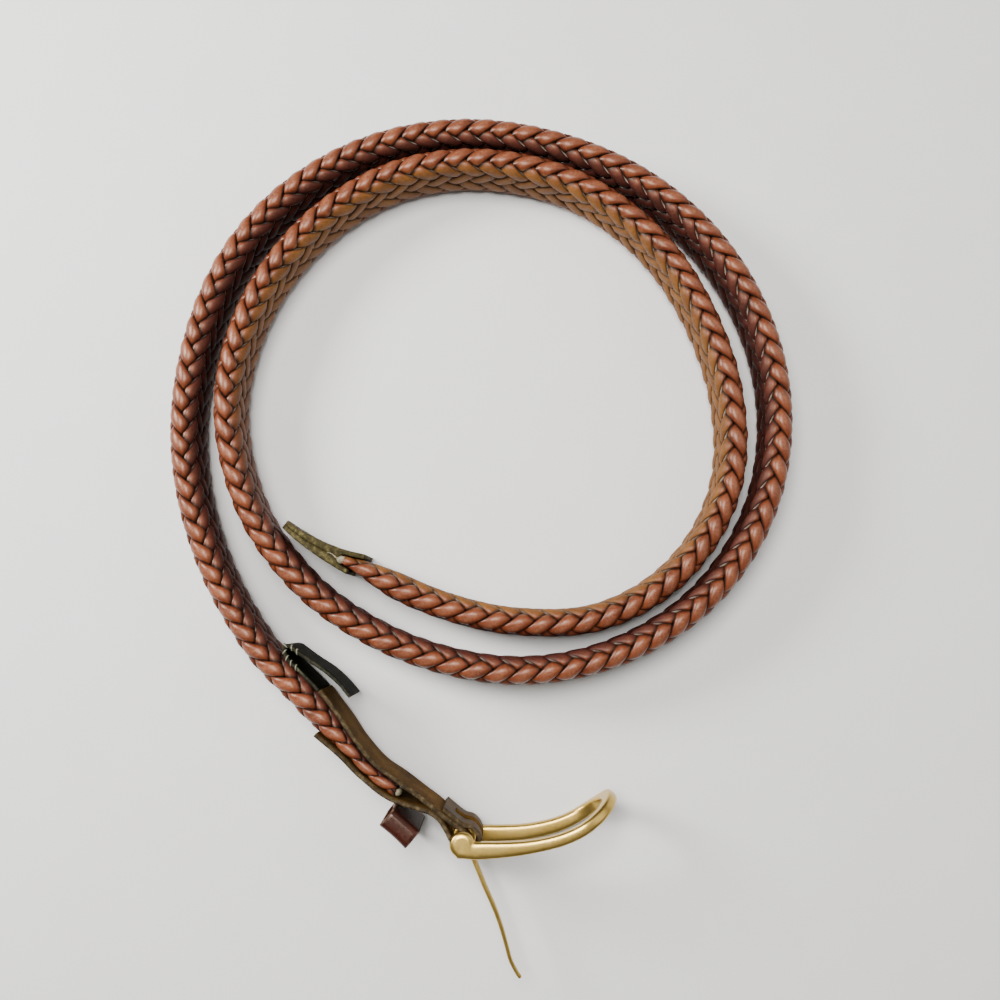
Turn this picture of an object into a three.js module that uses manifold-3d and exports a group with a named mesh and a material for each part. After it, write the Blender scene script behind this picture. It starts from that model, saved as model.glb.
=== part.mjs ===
// A braided leather belt with a brass buckle, coiled nearly twice and standing on its long edge.
// Millimetres, +Z up. The strap starts at the buckle's bar and runs clockwise, seen from above, into the coil.

import * as THREE from "three";
import { mergeVertices } from "three/addons/utils/BufferGeometryUtils.js";
import Module from "manifold-3d";

const wasm = await Module();
wasm.setup();

// Strap
const strapWidth = 20;
const strapThickness = 7.8;
const fitGap = 0.3;

// Coil, as plan sizes
const coilReach = 85;
const loopGap = 4;
const liftLength = 150;

// Where the braid starts and stops, measured along the strap from the bar and back from the tip
const braidStart = 22.5;
const tabPinchLength = 36;
const tabPinchThickness = 3.3;
const braidEndBack = 21;
const tailTaperLength = 20;
const braidEndThickness = 2.6;
const tailCloseLength = 1.6;

// Leather plies
const foldThickness = 1.2;
const backPlyThickness = 1.3;
const tailPlyThickness = 1.4;
const tailTipThickness = 2.6;
const tailTipHollow = 1.4;
const curlThickness = 0.9;
const foldFrontReach = 50;
const backPlyReach = 58;
const tailFrontLength = 23.5;
const tailBackLength = 26.5;
const tipRoundLength = 17;
const tipEndHeight = 3.2;

// Curled strip, whose free leg leaves the belt's back
const curlLegLength = 12;
const curlFreeLength = 21.5;
const curlOpen = 7;

// How far apart the points lie that the plies follow along the strap
const plySpacing = 8;
const curlSpacing = 4;

// Tab at the bar
const tabHeading = -41;
const neckBehindBar = 8;
const neckLength = 3.5;
const neckOffset = 1.8;
const neckJoin = 1;
const backPlyPastBar = 0.35;
const foldSlack = 0.6;
const slotHeight = 5.8;
const slotBehindBar = 6.5;

// Keeper
const keeperWidth = 9.4;
const keeperDepth = 6;
const keeperWall = 1.5;
const keeperClearance = 1.6;
const keeperBehindBar = 15.6;
const keeperCorner = 1.8;
const keeperInnerCorner = 0.3;

// Buckle
const barRadius = 1.7;
const bossRadius = 3.5;
const railThickness = 3.8;
const railEndThickness = 3.1;
const railHeight = 3.4;
const railClearance = 0.4;
const frameLength = 44;
const frameCorner = 13;
const endBarWidth = 4;
const railEdge = 1;
const frameHeading = 13.4;
const frameBow = 5;

// Prong
const prongRingWall = 1.5;
const prongRingHeight = 4.2;
const prongLength = 41.8;
const prongThickness = 1.5;
const prongWidth = 3.4;
const prongTipShare = 0.5;
const prongHeading = -68.6;
const prongBow = 1;

// How finely the bent pieces are divided along their length, and round pieces around
const strapSteps = 190;
const foldSteps = 72;
const backPlySteps = 40;
const smallPlySteps = 30;
const frameSteps = 42;
const prongSteps = 26;
const roundSides = 24;

// Worked out from the sizes above
const frameHeight = strapWidth + 2 * (railHeight + railClearance);
const tabLift = (frameHeight - strapWidth) / 2;
const tabMiddle = frameHeight / 2;

// The strap's middle line: bearings in degrees about the coil's middle, reach as a share of coilReach
const firstTurn = [
  { bearing: 267.8, reach: 1.457 },
  { bearing: 264.2, reach: 1.376 },
  { bearing: 258.7, reach: 1.328 },
  { bearing: 254, reach: 1.287 },
  { bearing: 250.7, reach: 1.248 },
  { bearing: 247, reach: 1.21 },
  { bearing: 243, reach: 1.177 },
  { bearing: 238, reach: 1.147 },
  { bearing: 230, reach: 1.123 },
  { bearing: 220, reach: 1.089 },
  { bearing: 205, reach: 1.053 },
  { bearing: 190, reach: 1.03 },
  { bearing: 170, reach: 1.01 },
  { bearing: 145, reach: 1.01 },
  { bearing: 120, reach: 0.996 },
  { bearing: 95, reach: 0.973 },
  { bearing: 75, reach: 0.96 },
  { bearing: 55, reach: 0.97 },
  { bearing: 30, reach: 0.993 },
  { bearing: 0, reach: 1.023 },
  { bearing: -20, reach: 1.031 },
  { bearing: -40, reach: 1.014 },
  { bearing: -60, reach: 0.973 },
  { bearing: -80, reach: 0.928 },
  { bearing: -100, reach: 0.884 },
  { bearing: -120, reach: 0.864 },
  { bearing: -145, reach: 0.866 },
  { bearing: -160, reach: 0.869 },
];

// Further in, the clear gap to the loop outside it, as a share of loopGap
const laterTurns = [
  { bearing: -110, gap: 5.9 },
  { bearing: -120, gap: 4.27 },
  { bearing: -130, gap: 3.55 },
  { bearing: -150, gap: 2.21 },
  { bearing: -165, gap: 1.58 },
  { bearing: -185, gap: 1.03 },
  { bearing: -215, gap: 1.13 },
  { bearing: -235, gap: 0.85 },
  { bearing: -255, gap: 0.47 },
  { bearing: -280, gap: 0.34 },
  { bearing: -292, gap: 0.43 },
  { bearing: -310, gap: 0.93 },
  { bearing: -338, gap: 1.64 },
  { bearing: -358, gap: 1.53 },
  { bearing: -380, gap: 0.94 },
  { bearing: -400, gap: 0.74 },
  { bearing: -420, gap: 0.87 },
  { bearing: -440, gap: 1.6 },
  { bearing: -465, gap: 1.83 },
  { bearing: -484, gap: 1.64 },
  { bearing: -492, gap: 1.1 },
  { bearing: -500, gap: 0.4 },
  { bearing: -508.4, gap: -0.35 },
];
const blendFrom = -110;
const blendTo = -150;

// The buckle rail's bow in plan, along as a share of frameLength, across as a share of frameBow
const railBow = [
  { along: -0.04, across: -0.2 },
  { along: 0.1, across: -0.42 },
  { along: 0.23, across: -0.68 },
  { along: 0.36, across: -0.9 },
  { along: 0.48, across: -1 },
  { along: 0.6, across: -0.99 },
  { along: 0.72, across: -0.83 },
  { along: 0.84, across: -0.46 },
  { along: 0.93, across: -0.06 },
  { along: 1, across: 0.36 },
];

// The prong's slight bow in plan, along as a share of prongLength, across as a share of prongBow
const prongCurve = [
  { along: 0.055, across: 0.1 },
  { along: 0.18, across: 0.4 },
  { along: 0.36, across: 0.62 },
  { along: 0.5, across: 0.95 },
  { along: 0.63, across: 0.9 },
  { along: 0.77, across: 0.4 },
  { along: 0.86, across: 0.05 },
  { along: 0.94, across: 0.35 },
  { along: 1, across: 0.9 },
];

// The curled strip's free end: back towards the buckle as a share of curlFreeLength, out as a share of
// curlOpen
const curlCurve = [
  { back: -0.12, out: 0.14 },
  { back: -0.17, out: 0.28 },
  { back: -0.12, out: 0.4 },
  { back: 0.02, out: 0.47 },
  { back: 0.2, out: 0.56 },
  { back: 0.45, out: 0.71 },
  { back: 0.7, out: 0.8 },
  { back: 0.9, out: 0.82 },
];

// Smooth reading of a table between its rows
function readTable(rows, key, value, at) {
  const step = Math.sign(rows[1][key] - rows[0][key]);
  const last = rows.length - 1;
  let i = 0;
  while (i < last - 1 && (rows[i + 1][key] - at) * step < 0) {
    i += 1;
  }
  const slope = (j) => {
    const before = rows[Math.max(j - 1, 0)];
    const after = rows[Math.min(j + 1, last)];
    return (after[value] - before[value]) / (after[key] - before[key]);
  };
  const span = rows[i + 1][key] - rows[i][key];
  const t = THREE.MathUtils.clamp((at - rows[i][key]) / span, 0, 1);
  const rise = t * t * (3 - 2 * t);
  const base = rows[i][value] * (1 - rise) + rows[i + 1][value] * rise;
  return base + span * (slope(i) * t * (1 - t) * (1 - t) - slope(i + 1) * t * t * (1 - t));
}

// How far the strap's middle line is from the coil's middle at a bearing
function reachAt(bearing) {
  const onFirst = readTable(firstTurn, "bearing", "reach", bearing) * coilReach;
  if (bearing >= blendFrom) {
    return onFirst;
  }
  const gap = readTable(laterTurns, "bearing", "gap", bearing) * loopGap;
  const inside = reachAt(bearing + 360) - strapThickness - gap;
  const share = THREE.MathUtils.smoothstep(-bearing, -blendFrom, -blendTo);
  return onFirst * (1 - share) + inside * share;
}

// The strap's middle line as closely spaced plan points with their length from the bar
function makeRoute() {
  const start = firstTurn[0].bearing;
  const end = laterTurns[laterTurns.length - 1].bearing;
  const count = Math.round(start - end);
  const points = [];
  let length = 0;
  for (let i = 0; i <= count; i += 1) {
    const bearing = start + ((end - start) * i) / count;
    const angle = THREE.MathUtils.degToRad(bearing);
    const at = new THREE.Vector2(Math.cos(angle), Math.sin(angle)).multiplyScalar(reachAt(bearing));
    length += i > 0 ? at.distanceTo(points[i - 1].at) : 0;
    points.push({ at, length });
  }
  return points;
}

const route = makeRoute();
const strapLength = route[route.length - 1].length;

// A plan point on the strap's middle line, with the way along it and the way in towards the coil's middle
function routeAt(distance) {
  let i = 1;
  while (i < route.length - 2 && route[i + 1].length < distance) {
    i += 1;
  }
  const near = route[i];
  const far = route[i + 1];
  const share = (distance - near.length) / (far.length - near.length);
  const before = new THREE.Vector2().subVectors(far.at, route[i - 1].at).normalize();
  const after = new THREE.Vector2().subVectors(route[Math.min(i + 2, route.length - 1)].at, near.at).normalize();
  const along = before.lerp(after, THREE.MathUtils.clamp(share, 0, 1)).normalize();
  const at = near.at.clone().lerp(far.at, share);
  return { at, along, inward: new THREE.Vector2(along.y, -along.x) };
}

// The strap's lower edge is held up at the buckle, which is taller, and comes down to the surface
function liftAt(distance) {
  return tabLift * (1 - THREE.MathUtils.smoothstep(distance, 0, liftLength));
}

// The braid's thickness, pinched between the plies at both ends
function braidThicknessAt(distance) {
  const fromTab = THREE.MathUtils.smoothstep(distance, braidStart + tabPinchLength / 3, braidStart + tabPinchLength);
  const fromTip = strapLength - distance - braidEndBack;
  const atTail = THREE.MathUtils.clamp(fromTip / tailTaperLength, 0, 1);
  const tab = tabPinchThickness + (strapThickness - tabPinchThickness) * fromTab;
  const tail = braidEndThickness + (strapThickness - braidEndThickness) * Math.sin((atTail * Math.PI) / 2) ** 1.3;
  return Math.min(tab, tail);
}

// A plan point beside the strap, with the height of the strap's lower edge as z
function besideStrap(distance, offset) {
  const { at, inward } = routeAt(distance);
  const place = at.clone().addScaledVector(inward, offset);
  return new THREE.Vector3(place.x, place.y, liftAt(distance));
}

// A plan point near the bar, along the tab's heading and across it towards the belt's back
const barAt = routeAt(0).at;
function besideBar(along, across) {
  const angle = THREE.MathUtils.degToRad(tabHeading);
  const x = barAt.x + along * Math.cos(angle) - across * Math.sin(angle);
  const y = barAt.y + along * Math.sin(angle) + across * Math.cos(angle);
  return new THREE.Vector3(x, y, tabLift);
}

// Drops everything but position and joins shared vertices
function weld(geometry) {
  const plain = geometry.clone();
  plain.deleteAttribute("normal");
  plain.deleteAttribute("uv");
  return mergeVertices(plain.index ? plain.toNonIndexed() : plain, 1e-4);
}

function toSolid(geometry) {
  const welded = weld(geometry);
  const mesh = new wasm.Mesh({
    numProp: 3,
    vertProperties: new Float32Array(welded.attributes.position.array),
    triVerts: new Uint32Array(welded.index.array),
  });
  return new wasm.Manifold(mesh);
}

function fromSolid(solid) {
  const mesh = solid.getMesh();
  const geometry = new THREE.BufferGeometry();
  geometry.setAttribute("position", new THREE.BufferAttribute(new Float32Array(mesh.vertProperties), 3));
  geometry.setIndex(new THREE.BufferAttribute(new Uint32Array(mesh.triVerts), 1));
  return geometry;
}

// A section one unit across and one unit high, extruded one unit long and then bent: stationAt gives, for a
// share of the length, the plan point, the way across, the thickness, and the heights of the two edges
function bentExtrusion(shape, steps, stationAt) {
  const geometry = new THREE.ExtrudeGeometry(shape, { depth: 1, steps, bevelEnabled: false });
  const position = geometry.attributes.position;
  for (let i = 0; i < position.count; i += 1) {
    const { at, inward, thickness, bottom, top } = stationAt(position.getZ(i));
    const outward = position.getX(i) * thickness;
    const height = bottom + position.getY(i) * (top - bottom);
    position.setXYZ(i, at.x - inward.x * outward, at.y - inward.y * outward, height);
  }
  return geometry;
}

// A flat-sided section, with slightly eased corners
function plySection(thickness, height) {
  const easeAcross = 0.2;
  const easeUp = (easeAcross * thickness) / height;
  const shape = new THREE.Shape();
  shape.moveTo(-0.5 + easeAcross, 0);
  shape.lineTo(0.5 - easeAcross, 0);
  shape.lineTo(0.5, easeUp);
  shape.lineTo(0.5, 1 - easeUp);
  shape.lineTo(0.5 - easeAcross, 1);
  shape.lineTo(-0.5 + easeAcross, 1);
  shape.lineTo(-0.5, 1 - easeUp);
  shape.lineTo(-0.5, easeUp);
  return shape;
}

// A section with fully rounded long edges, each rounded in facets with a flat one at the very edge
function roundedSection(thickness, height) {
  const facets = 6;
  const radius = thickness / 2;
  const flatDrop = radius * Math.cos(Math.PI / facets / 2);
  const shape = new THREE.Shape();
  for (const end of [0, 1]) {
    for (let i = 0; i <= facets - 1; i += 1) {
      const angle = Math.PI * (end + (i + 0.5) / facets) + Math.PI;
      const middle = end === 0 ? flatDrop : height - flatDrop;
      const x = (Math.cos(angle) * 0.5) / Math.cos(Math.PI / facets / 2);
      const y = (middle + Math.sin(angle) * radius) / height;
      if (i === 0 && end === 0) {
        shape.moveTo(x, y);
      } else {
        shape.lineTo(x, y);
      }
    }
  }
  return shape;
}

// A ply bent along a curve whose points hold the plan place and the lower edge's height
function plyAlong(points, thickness, steps) {
  const curve = new THREE.CatmullRomCurve3(points, false, "centripetal");
  return bentExtrusion(plySection(thickness, strapWidth), steps, (share) => {
    const at = curve.getPointAt(share);
    const along = curve.getTangentAt(share);
    const inward = new THREE.Vector2(along.y, -along.x).normalize();
    return { at, inward, thickness, bottom: at.z, top: at.z + strapWidth };
  });
}

// Points beside the strap at a set spacing, from one distance to another
function pointsBeside(from, to, spacing, offsetAt) {
  const count = Math.max(1, Math.round(Math.abs(to - from) / spacing));
  const points = [];
  for (let i = 0; i <= count; i += 1) {
    const distance = from + ((to - from) * i) / count;
    points.push(besideStrap(distance, offsetAt(distance)));
  }
  return points;
}

// Moves a plain solid so that its x runs along a heading at a plan point
function turnAndPlace(geometry, heading, place) {
  return geometry.rotateZ(THREE.MathUtils.degToRad(heading)).translate(place.x, place.y, place.z);
}

function makeStrap() {
  const end = strapLength - braidEndBack;
  return bentExtrusion(roundedSection(strapThickness, strapWidth), strapSteps, (share) => {
    const distance = braidStart + (end - braidStart) * share;
    const { at, inward } = routeAt(distance);
    const bottom = liftAt(distance);
    return { at, inward, thickness: braidThicknessAt(distance), bottom, top: bottom + strapWidth };
  });
}

// The slot in the fold that leaves the prong's ring free
function makeSlot() {
  const pastPlies = bossRadius + 4 * foldThickness;
  const length = slotBehindBar + pastPlies;
  const depth = 2 * pastPlies;
  const slot = new THREE.BoxGeometry(length, depth, slotHeight);
  slot.translate(length / 2 - slotBehindBar, 0, 0);
  return toSolid(turnAndPlace(slot, tabHeading, new THREE.Vector3(barAt.x, barAt.y, tabMiddle)));
}

// How far the three plies of the neck lie from each other
const neckStep = backPlyThickness / 2 + fitGap + foldThickness / 2;

// Front ply, the fold round the bar and the short return to the seam on the belt's back
function makeFold() {
  const offsetAt = (distance) => -(braidThicknessAt(distance) / 2 + fitGap + foldThickness / 2);
  const points = pointsBeside(foldFrontReach, braidStart + neckJoin, plySpacing, offsetAt);
  const nearRadius = barRadius + fitGap + foldThickness / 2;
  const farRadius = nearRadius + backPlyThickness + fitGap + foldSlack;
  points.push(besideBar(-neckBehindBar - neckLength, neckOffset - neckStep));
  points.push(besideBar(-neckBehindBar, neckOffset - neckStep));
  const turnFrom = -130;
  const turnTo = 130;
  const turnSteps = 8;
  for (let i = 0; i <= turnSteps; i += 1) {
    const share = i / turnSteps;
    const angle = THREE.MathUtils.degToRad(turnFrom + (turnTo - turnFrom) * share);
    const radius = nearRadius + (farRadius - nearRadius) * THREE.MathUtils.smoothstep(share, 0.25, 0.6);
    points.push(besideBar(radius * Math.cos(angle), radius * Math.sin(angle)));
  }
  points.push(besideBar(-neckBehindBar, neckOffset + neckStep));
  points.push(besideBar(-neckBehindBar - neckLength / 2, neckOffset + neckStep));
  const ply = toSolid(plyAlong(points, foldThickness, foldSteps));
  return fromSolid(ply.subtract(makeSlot()));
}

// The back ply runs from beside the bar along the braid's back
function makeBackPly() {
  const offsetAt = (distance) => braidThicknessAt(distance) / 2 + fitGap + backPlyThickness / 2;
  const radius = barRadius + fitGap + backPlyThickness / 2;
  const points = [
    besideBar(-backPlyPastBar * radius, radius),
    besideBar(-neckBehindBar, neckOffset),
    besideBar(-neckBehindBar - neckLength, neckOffset),
    ...pointsBeside(braidStart + neckJoin, backPlyReach, plySpacing, offsetAt),
  ];
  const ply = toSolid(plyAlong(points, backPlyThickness, backPlySteps));
  return fromSolid(ply.subtract(makeSlot()));
}

// The thin strip that goes on from the back ply and whose free end curls over
function makeCurledStrip() {
  const onBack = (distance) => braidThicknessAt(distance) / 2 + fitGap + curlThickness / 2;
  const legFrom = backPlyReach + fitGap;
  const legTo = legFrom + curlLegLength;
  const points = pointsBeside(legFrom, legTo, curlSpacing, onBack);
  for (const { back, out } of curlCurve) {
    const distance = legTo - back * curlFreeLength;
    points.push(besideStrap(distance, onBack(distance) + out * curlOpen));
  }
  return plyAlong(points, curlThickness, smallPlySteps);
}

// How far the tail's outer face and a tail ply's inner face lie from the strap's middle line
function tailHalvesAt(distance) {
  const overBraid = braidThicknessAt(distance) / 2 + fitGap;
  const fromTip = THREE.MathUtils.clamp((strapLength - distance) / braidEndBack, 0, 1);
  const pastBraid = distance - (strapLength - braidEndBack);
  if (pastBraid <= 0) {
    return { outer: overBraid + tailPlyThickness, inner: overBraid };
  }
  const tip = tailTipThickness / 2;
  const full = braidEndThickness / 2 + fitGap + tailPlyThickness;
  const closing = THREE.MathUtils.smoothstep(pastBraid, 0, tailCloseLength);
  const inner = overBraid * (1 - closing) + (fitGap / 2) * closing;
  return { outer: tip + (full - tip) * fromTip ** tailTipHollow, inner };
}

// One of the two plies that close the tail, on side -1 for the front or 1 for the back. Past the braid's end they
// meet in the middle, and they thin down to the rounded tip
function makeTailPly(side, length) {
  const section = plySection(tailPlyThickness, strapWidth);
  return bentExtrusion(section, smallPlySteps, (share) => {
    const distance = strapLength - length * (1 - share);
    const { at, inward } = routeAt(distance);
    const { outer, inner } = tailHalvesAt(distance);
    const middle = at.clone().addScaledVector(inward, (side * (outer + inner)) / 2);
    const fromTip = THREE.MathUtils.clamp((strapLength - distance) / tipRoundLength, 0, 1);
    const height = tipEndHeight + (strapWidth - tipEndHeight) * Math.sqrt(1 - (1 - fromTip) ** 2);
    const bottom = (strapWidth - height) / 2;
    return { at: middle, inward, thickness: outer - inner, bottom, top: bottom + height };
  });
}

// A rectangle with rounded corners about a middle point
function roundedRectangle(PathClass, width, height, corner) {
  const x = width / 2 - corner;
  const y = height / 2 - corner;
  const path = new PathClass();
  path.absarc(x, -y, corner, -Math.PI / 2, 0, false);
  path.absarc(x, y, corner, 0, Math.PI / 2, false);
  path.absarc(-x, y, corner, Math.PI / 2, Math.PI, false);
  path.absarc(-x, -y, corner, Math.PI, 1.5 * Math.PI, false);
  return path;
}

// The keeper is a loop open along the strap, standing on the front ply
function makeKeeper() {
  const height = strapWidth + 2 * (keeperClearance + keeperWall);
  const shape = roundedRectangle(THREE.Shape, keeperDepth, height, keeperCorner);
  const hole = roundedRectangle(
    THREE.Path,
    keeperDepth - 2 * keeperWall,
    height - 2 * keeperWall,
    keeperInnerCorner,
  );
  shape.holes.push(hole);
  const ring = new THREE.ExtrudeGeometry(shape, { depth: keeperWidth, curveSegments: 4, bevelEnabled: false });
  ring.translate(0, 0, -keeperWidth / 2);
  // The outline's x becomes the way across the belt, its y the height, and its depth the way along the belt
  ring.rotateX(Math.PI / 2);
  ring.rotateZ(Math.PI / 2);
  const plyFace = routeOffsetAtBar(keeperBehindBar + keeperWidth / 2);
  const place = besideBar(-keeperBehindBar, plyFace - fitGap - keeperDepth / 2);
  const middle = new THREE.Vector3(place.x, place.y, tabLift + strapWidth / 2);
  return turnAndPlace(ring, tabHeading, middle);
}

// How far across the tab's heading the front ply's outer face lies, at a distance behind the bar
function routeOffsetAtBar(behind) {
  const distance = Math.max(behind, braidStart);
  const { at } = routeAt(distance);
  const angle = THREE.MathUtils.degToRad(tabHeading);
  const across = -(at.x - barAt.x) * Math.sin(angle) + (at.y - barAt.y) * Math.cos(angle);
  return across - braidThicknessAt(distance) / 2 - fitGap - foldThickness;
}

// The buckle rail's middle line in plan, from the bar to the end bar
function makeFrameCurve() {
  const points = railBow.map(({ along, across }) => {
    return new THREE.Vector3(along * frameLength, across * frameBow, 0);
  });
  return new THREE.CatmullRomCurve3(points, false, "centripetal");
}

// The buckle's side view is a U lying down: its middle line runs along the low rail and back along the high one
function makeFrameSide(length) {
  const low = railHeight / 2;
  const high = frameHeight - railHeight / 2;
  const end = length - endBarWidth / 2;
  const corner = frameCorner - railHeight / 2;
  const side = new THREE.Path();
  side.moveTo(0, low);
  side.lineTo(end - corner, low);
  side.absarc(end - corner, low + corner, corner, -Math.PI / 2, 0, false);
  side.lineTo(end, high - corner);
  side.absarc(end - corner, high - corner, corner, 0, Math.PI / 2, false);
  side.lineTo(0, high);
  return side;
}

// The rail's section, swept along the U and then bent to the bow
function makeFrameLoop() {
  const curve = makeFrameCurve();
  const length = curve.getLength();
  const side = makeFrameSide(length);
  const section = roundedRectangle(THREE.Shape, 1, 1, railEdge / railThickness);
  const extrusion = { depth: 1, steps: frameSteps, curveSegments: 2, bevelEnabled: false };
  const geometry = new THREE.ExtrudeGeometry(section, extrusion);
  const position = geometry.attributes.position;
  for (let i = 0; i < position.count; i += 1) {
    const share = position.getZ(i);
    const middle = side.getPointAt(share);
    const way = side.getTangentAt(share);
    const out = position.getY(i) * (railHeight + (endBarWidth - railHeight) * Math.abs(way.y));
    const distance = middle.x + way.y * out;
    const height = middle.y - way.x * out;
    const bowShare = THREE.MathUtils.clamp(distance / length, 0, 1);
    const across = position.getX(i) * THREE.MathUtils.lerp(railThickness, railEndThickness, bowShare);
    const at = curve.getPointAt(bowShare);
    const along = curve.getTangentAt(bowShare);
    const past = distance - bowShare * length;
    const x = at.x + along.x * past + along.y * across;
    const y = at.y + along.y * past - along.x * across;
    position.setXYZ(i, x, y, height);
  }
  return geometry;
}

// A round block with eased rims, standing on z = 0
function makeBoss() {
  const ease = 0.6;
  const profile = [
    new THREE.Vector2(0, 0),
    new THREE.Vector2(bossRadius - ease, 0),
    new THREE.Vector2(bossRadius, ease),
    new THREE.Vector2(bossRadius, railHeight - ease),
    new THREE.Vector2(bossRadius - ease, railHeight),
    new THREE.Vector2(0, railHeight),
  ];
  return new THREE.LatheGeometry(profile, roundSides).rotateX(Math.PI / 2);
}

// Frame, bosses and heel bar are one casting
function makeFrame() {
  const loop = toSolid(makeFrameLoop());
  const lowBoss = toSolid(makeBoss());
  const highBoss = toSolid(makeBoss().translate(0, 0, frameHeight - railHeight));
  const bar = new THREE.CylinderGeometry(barRadius, barRadius, frameHeight - railHeight, roundSides);
  bar.rotateX(Math.PI / 2).translate(0, 0, frameHeight / 2);
  const whole = fromSolid(loop.add(lowBoss).add(highBoss).add(toSolid(bar)));
  return turnAndPlace(whole, frameHeading, new THREE.Vector3(barAt.x, barAt.y, 0));
}

// The prong's blade is bent along its bow and narrows to the tip, and its ring runs round the bar
function makeProng() {
  const points = prongCurve.map(({ along, across }) => {
    return new THREE.Vector3(along * prongLength, across * prongBow, 0);
  });
  const curve = new THREE.CatmullRomCurve3(points, false, "centripetal");
  const blade = bentExtrusion(roundedSection(prongThickness, prongWidth), prongSteps, (share) => {
    const at = curve.getPointAt(share);
    const along = curve.getTangentAt(share);
    const narrow = 1 - (1 - prongTipShare) * THREE.MathUtils.smoothstep(share, 0.2, 1);
    const half = (prongWidth * narrow) / 2;
    const inward = new THREE.Vector2(along.y, -along.x);
    return { at, inward, thickness: prongThickness * narrow, bottom: -half, top: half };
  });
  const inside = barRadius + fitGap;
  const outside = inside + prongRingWall;
  const half = prongRingHeight / 2;
  const ease = 0.3;
  const profile = [
    new THREE.Vector2(inside, -half),
    new THREE.Vector2(outside - ease, -half),
    new THREE.Vector2(outside, -half + ease),
    new THREE.Vector2(outside, half - ease),
    new THREE.Vector2(outside - ease, half),
    new THREE.Vector2(inside, half),
    new THREE.Vector2(inside, -half),
  ];
  const ring = new THREE.LatheGeometry(profile, roundSides).rotateX(Math.PI / 2);
  const whole = fromSolid(toSolid(ring).add(toSolid(blade)));
  return turnAndPlace(whole, prongHeading, new THREE.Vector3(barAt.x, barAt.y, tabMiddle));
}

// Looks
const braidLeather = { color: 0x8a4a30, roughness: 0.35, metalness: 0 };
const tabLeather = { color: 0x5b3222, roughness: 0.55, metalness: 0 };
const suedeLeather = { color: 0x7a5a30, roughness: 0.8, metalness: 0 };
const darkLeather = { color: 0x1c1a14, roughness: 0.5, metalness: 0 };
const satinBrass = { color: 0xc8b46e, roughness: 0.3, metalness: 1 };

const pieces = [
  { name: "braided_strap", geometry: makeStrap(), look: braidLeather },
  { name: "tab_fold", geometry: makeFold(), look: tabLeather },
  { name: "tab_back_ply", geometry: makeBackPly(), look: suedeLeather },
  { name: "curled_strip", geometry: makeCurledStrip(), look: darkLeather },
  { name: "keeper", geometry: makeKeeper(), look: tabLeather },
  { name: "tail_front_ply", geometry: makeTailPly(-1, tailFrontLength), look: suedeLeather },
  { name: "tail_back_ply", geometry: makeTailPly(1, tailBackLength), look: suedeLeather },
  { name: "buckle_frame", geometry: makeFrame(), look: satinBrass },
  { name: "buckle_prong", geometry: makeProng(), look: satinBrass },
];

// The origin is under the middle of the whole belt, on the surface that it stands on
const box = new THREE.Box3();
for (const { geometry } of pieces) {
  geometry.computeBoundingBox();
  box.union(geometry.boundingBox);
}
const middle = box.getCenter(new THREE.Vector3());

const belt = new THREE.Group();
for (const { name, geometry, look } of pieces) {
  const mesh = new THREE.Mesh(geometry, new THREE.MeshStandardMaterial(look));
  mesh.name = name;
  mesh.position.set(-middle.x, -middle.y, -box.min.z);
  belt.add(mesh);
}

export default belt;
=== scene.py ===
"""Visual model of the braided belt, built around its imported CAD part."""

import math

import bmesh
import bpy
import numpy as np
from mathutils import Matrix, Vector


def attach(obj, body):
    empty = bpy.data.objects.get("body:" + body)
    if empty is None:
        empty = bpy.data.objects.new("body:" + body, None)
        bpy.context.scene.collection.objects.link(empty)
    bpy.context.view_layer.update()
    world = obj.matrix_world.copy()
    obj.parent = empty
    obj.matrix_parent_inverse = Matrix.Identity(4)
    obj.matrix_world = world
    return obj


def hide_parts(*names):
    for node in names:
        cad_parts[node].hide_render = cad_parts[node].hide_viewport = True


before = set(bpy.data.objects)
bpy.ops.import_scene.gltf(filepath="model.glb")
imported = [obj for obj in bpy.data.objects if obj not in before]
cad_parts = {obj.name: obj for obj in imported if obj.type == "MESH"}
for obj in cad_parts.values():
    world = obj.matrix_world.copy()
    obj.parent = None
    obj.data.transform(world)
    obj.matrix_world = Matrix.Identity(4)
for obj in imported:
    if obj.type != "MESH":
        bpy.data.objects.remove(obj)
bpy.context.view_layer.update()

# Lengths below are in millimetres unless they end in _m
MM = 0.001

# Strap, as the CAD part has it
STRAP_WIDTH = 20.0
STRAP_THICKNESS = 7.8
FIT_GAP = 0.3
COIL_REACH = 85.0
LOOP_GAP = 4.0
LIFT_LENGTH = 150.0
TAB_LIFT = 3.8
BRAID_START = 22.5
TAB_PINCH_LENGTH = 36.0
TAB_PINCH_THICKNESS = 3.3
BRAID_END_BACK = 21.0
TAIL_TAPER_LENGTH = 20.0
BRAID_END_THICKNESS = 2.6
TAIL_CLOSE_LENGTH = 1.6
# From the route's own origin to the frame's
SHIFT = np.array([-0.1698, 38.1485])

# The strap's middle line: bearing in degrees, reach as a share of COIL_REACH
FIRST_TURN = [
    (267.8, 1.457), (264.2, 1.376), (258.7, 1.328), (254, 1.287), (250.7, 1.248), (247, 1.21),
    (243, 1.177), (238, 1.147), (230, 1.123), (220, 1.089), (205, 1.053), (190, 1.03), (170, 1.01),
    (145, 1.01), (120, 0.996), (95, 0.973), (75, 0.96), (55, 0.97), (30, 0.993), (0, 1.023),
    (-20, 1.031), (-40, 1.014), (-60, 0.973), (-80, 0.928), (-100, 0.884), (-120, 0.864),
    (-145, 0.866), (-160, 0.869),
]
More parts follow.
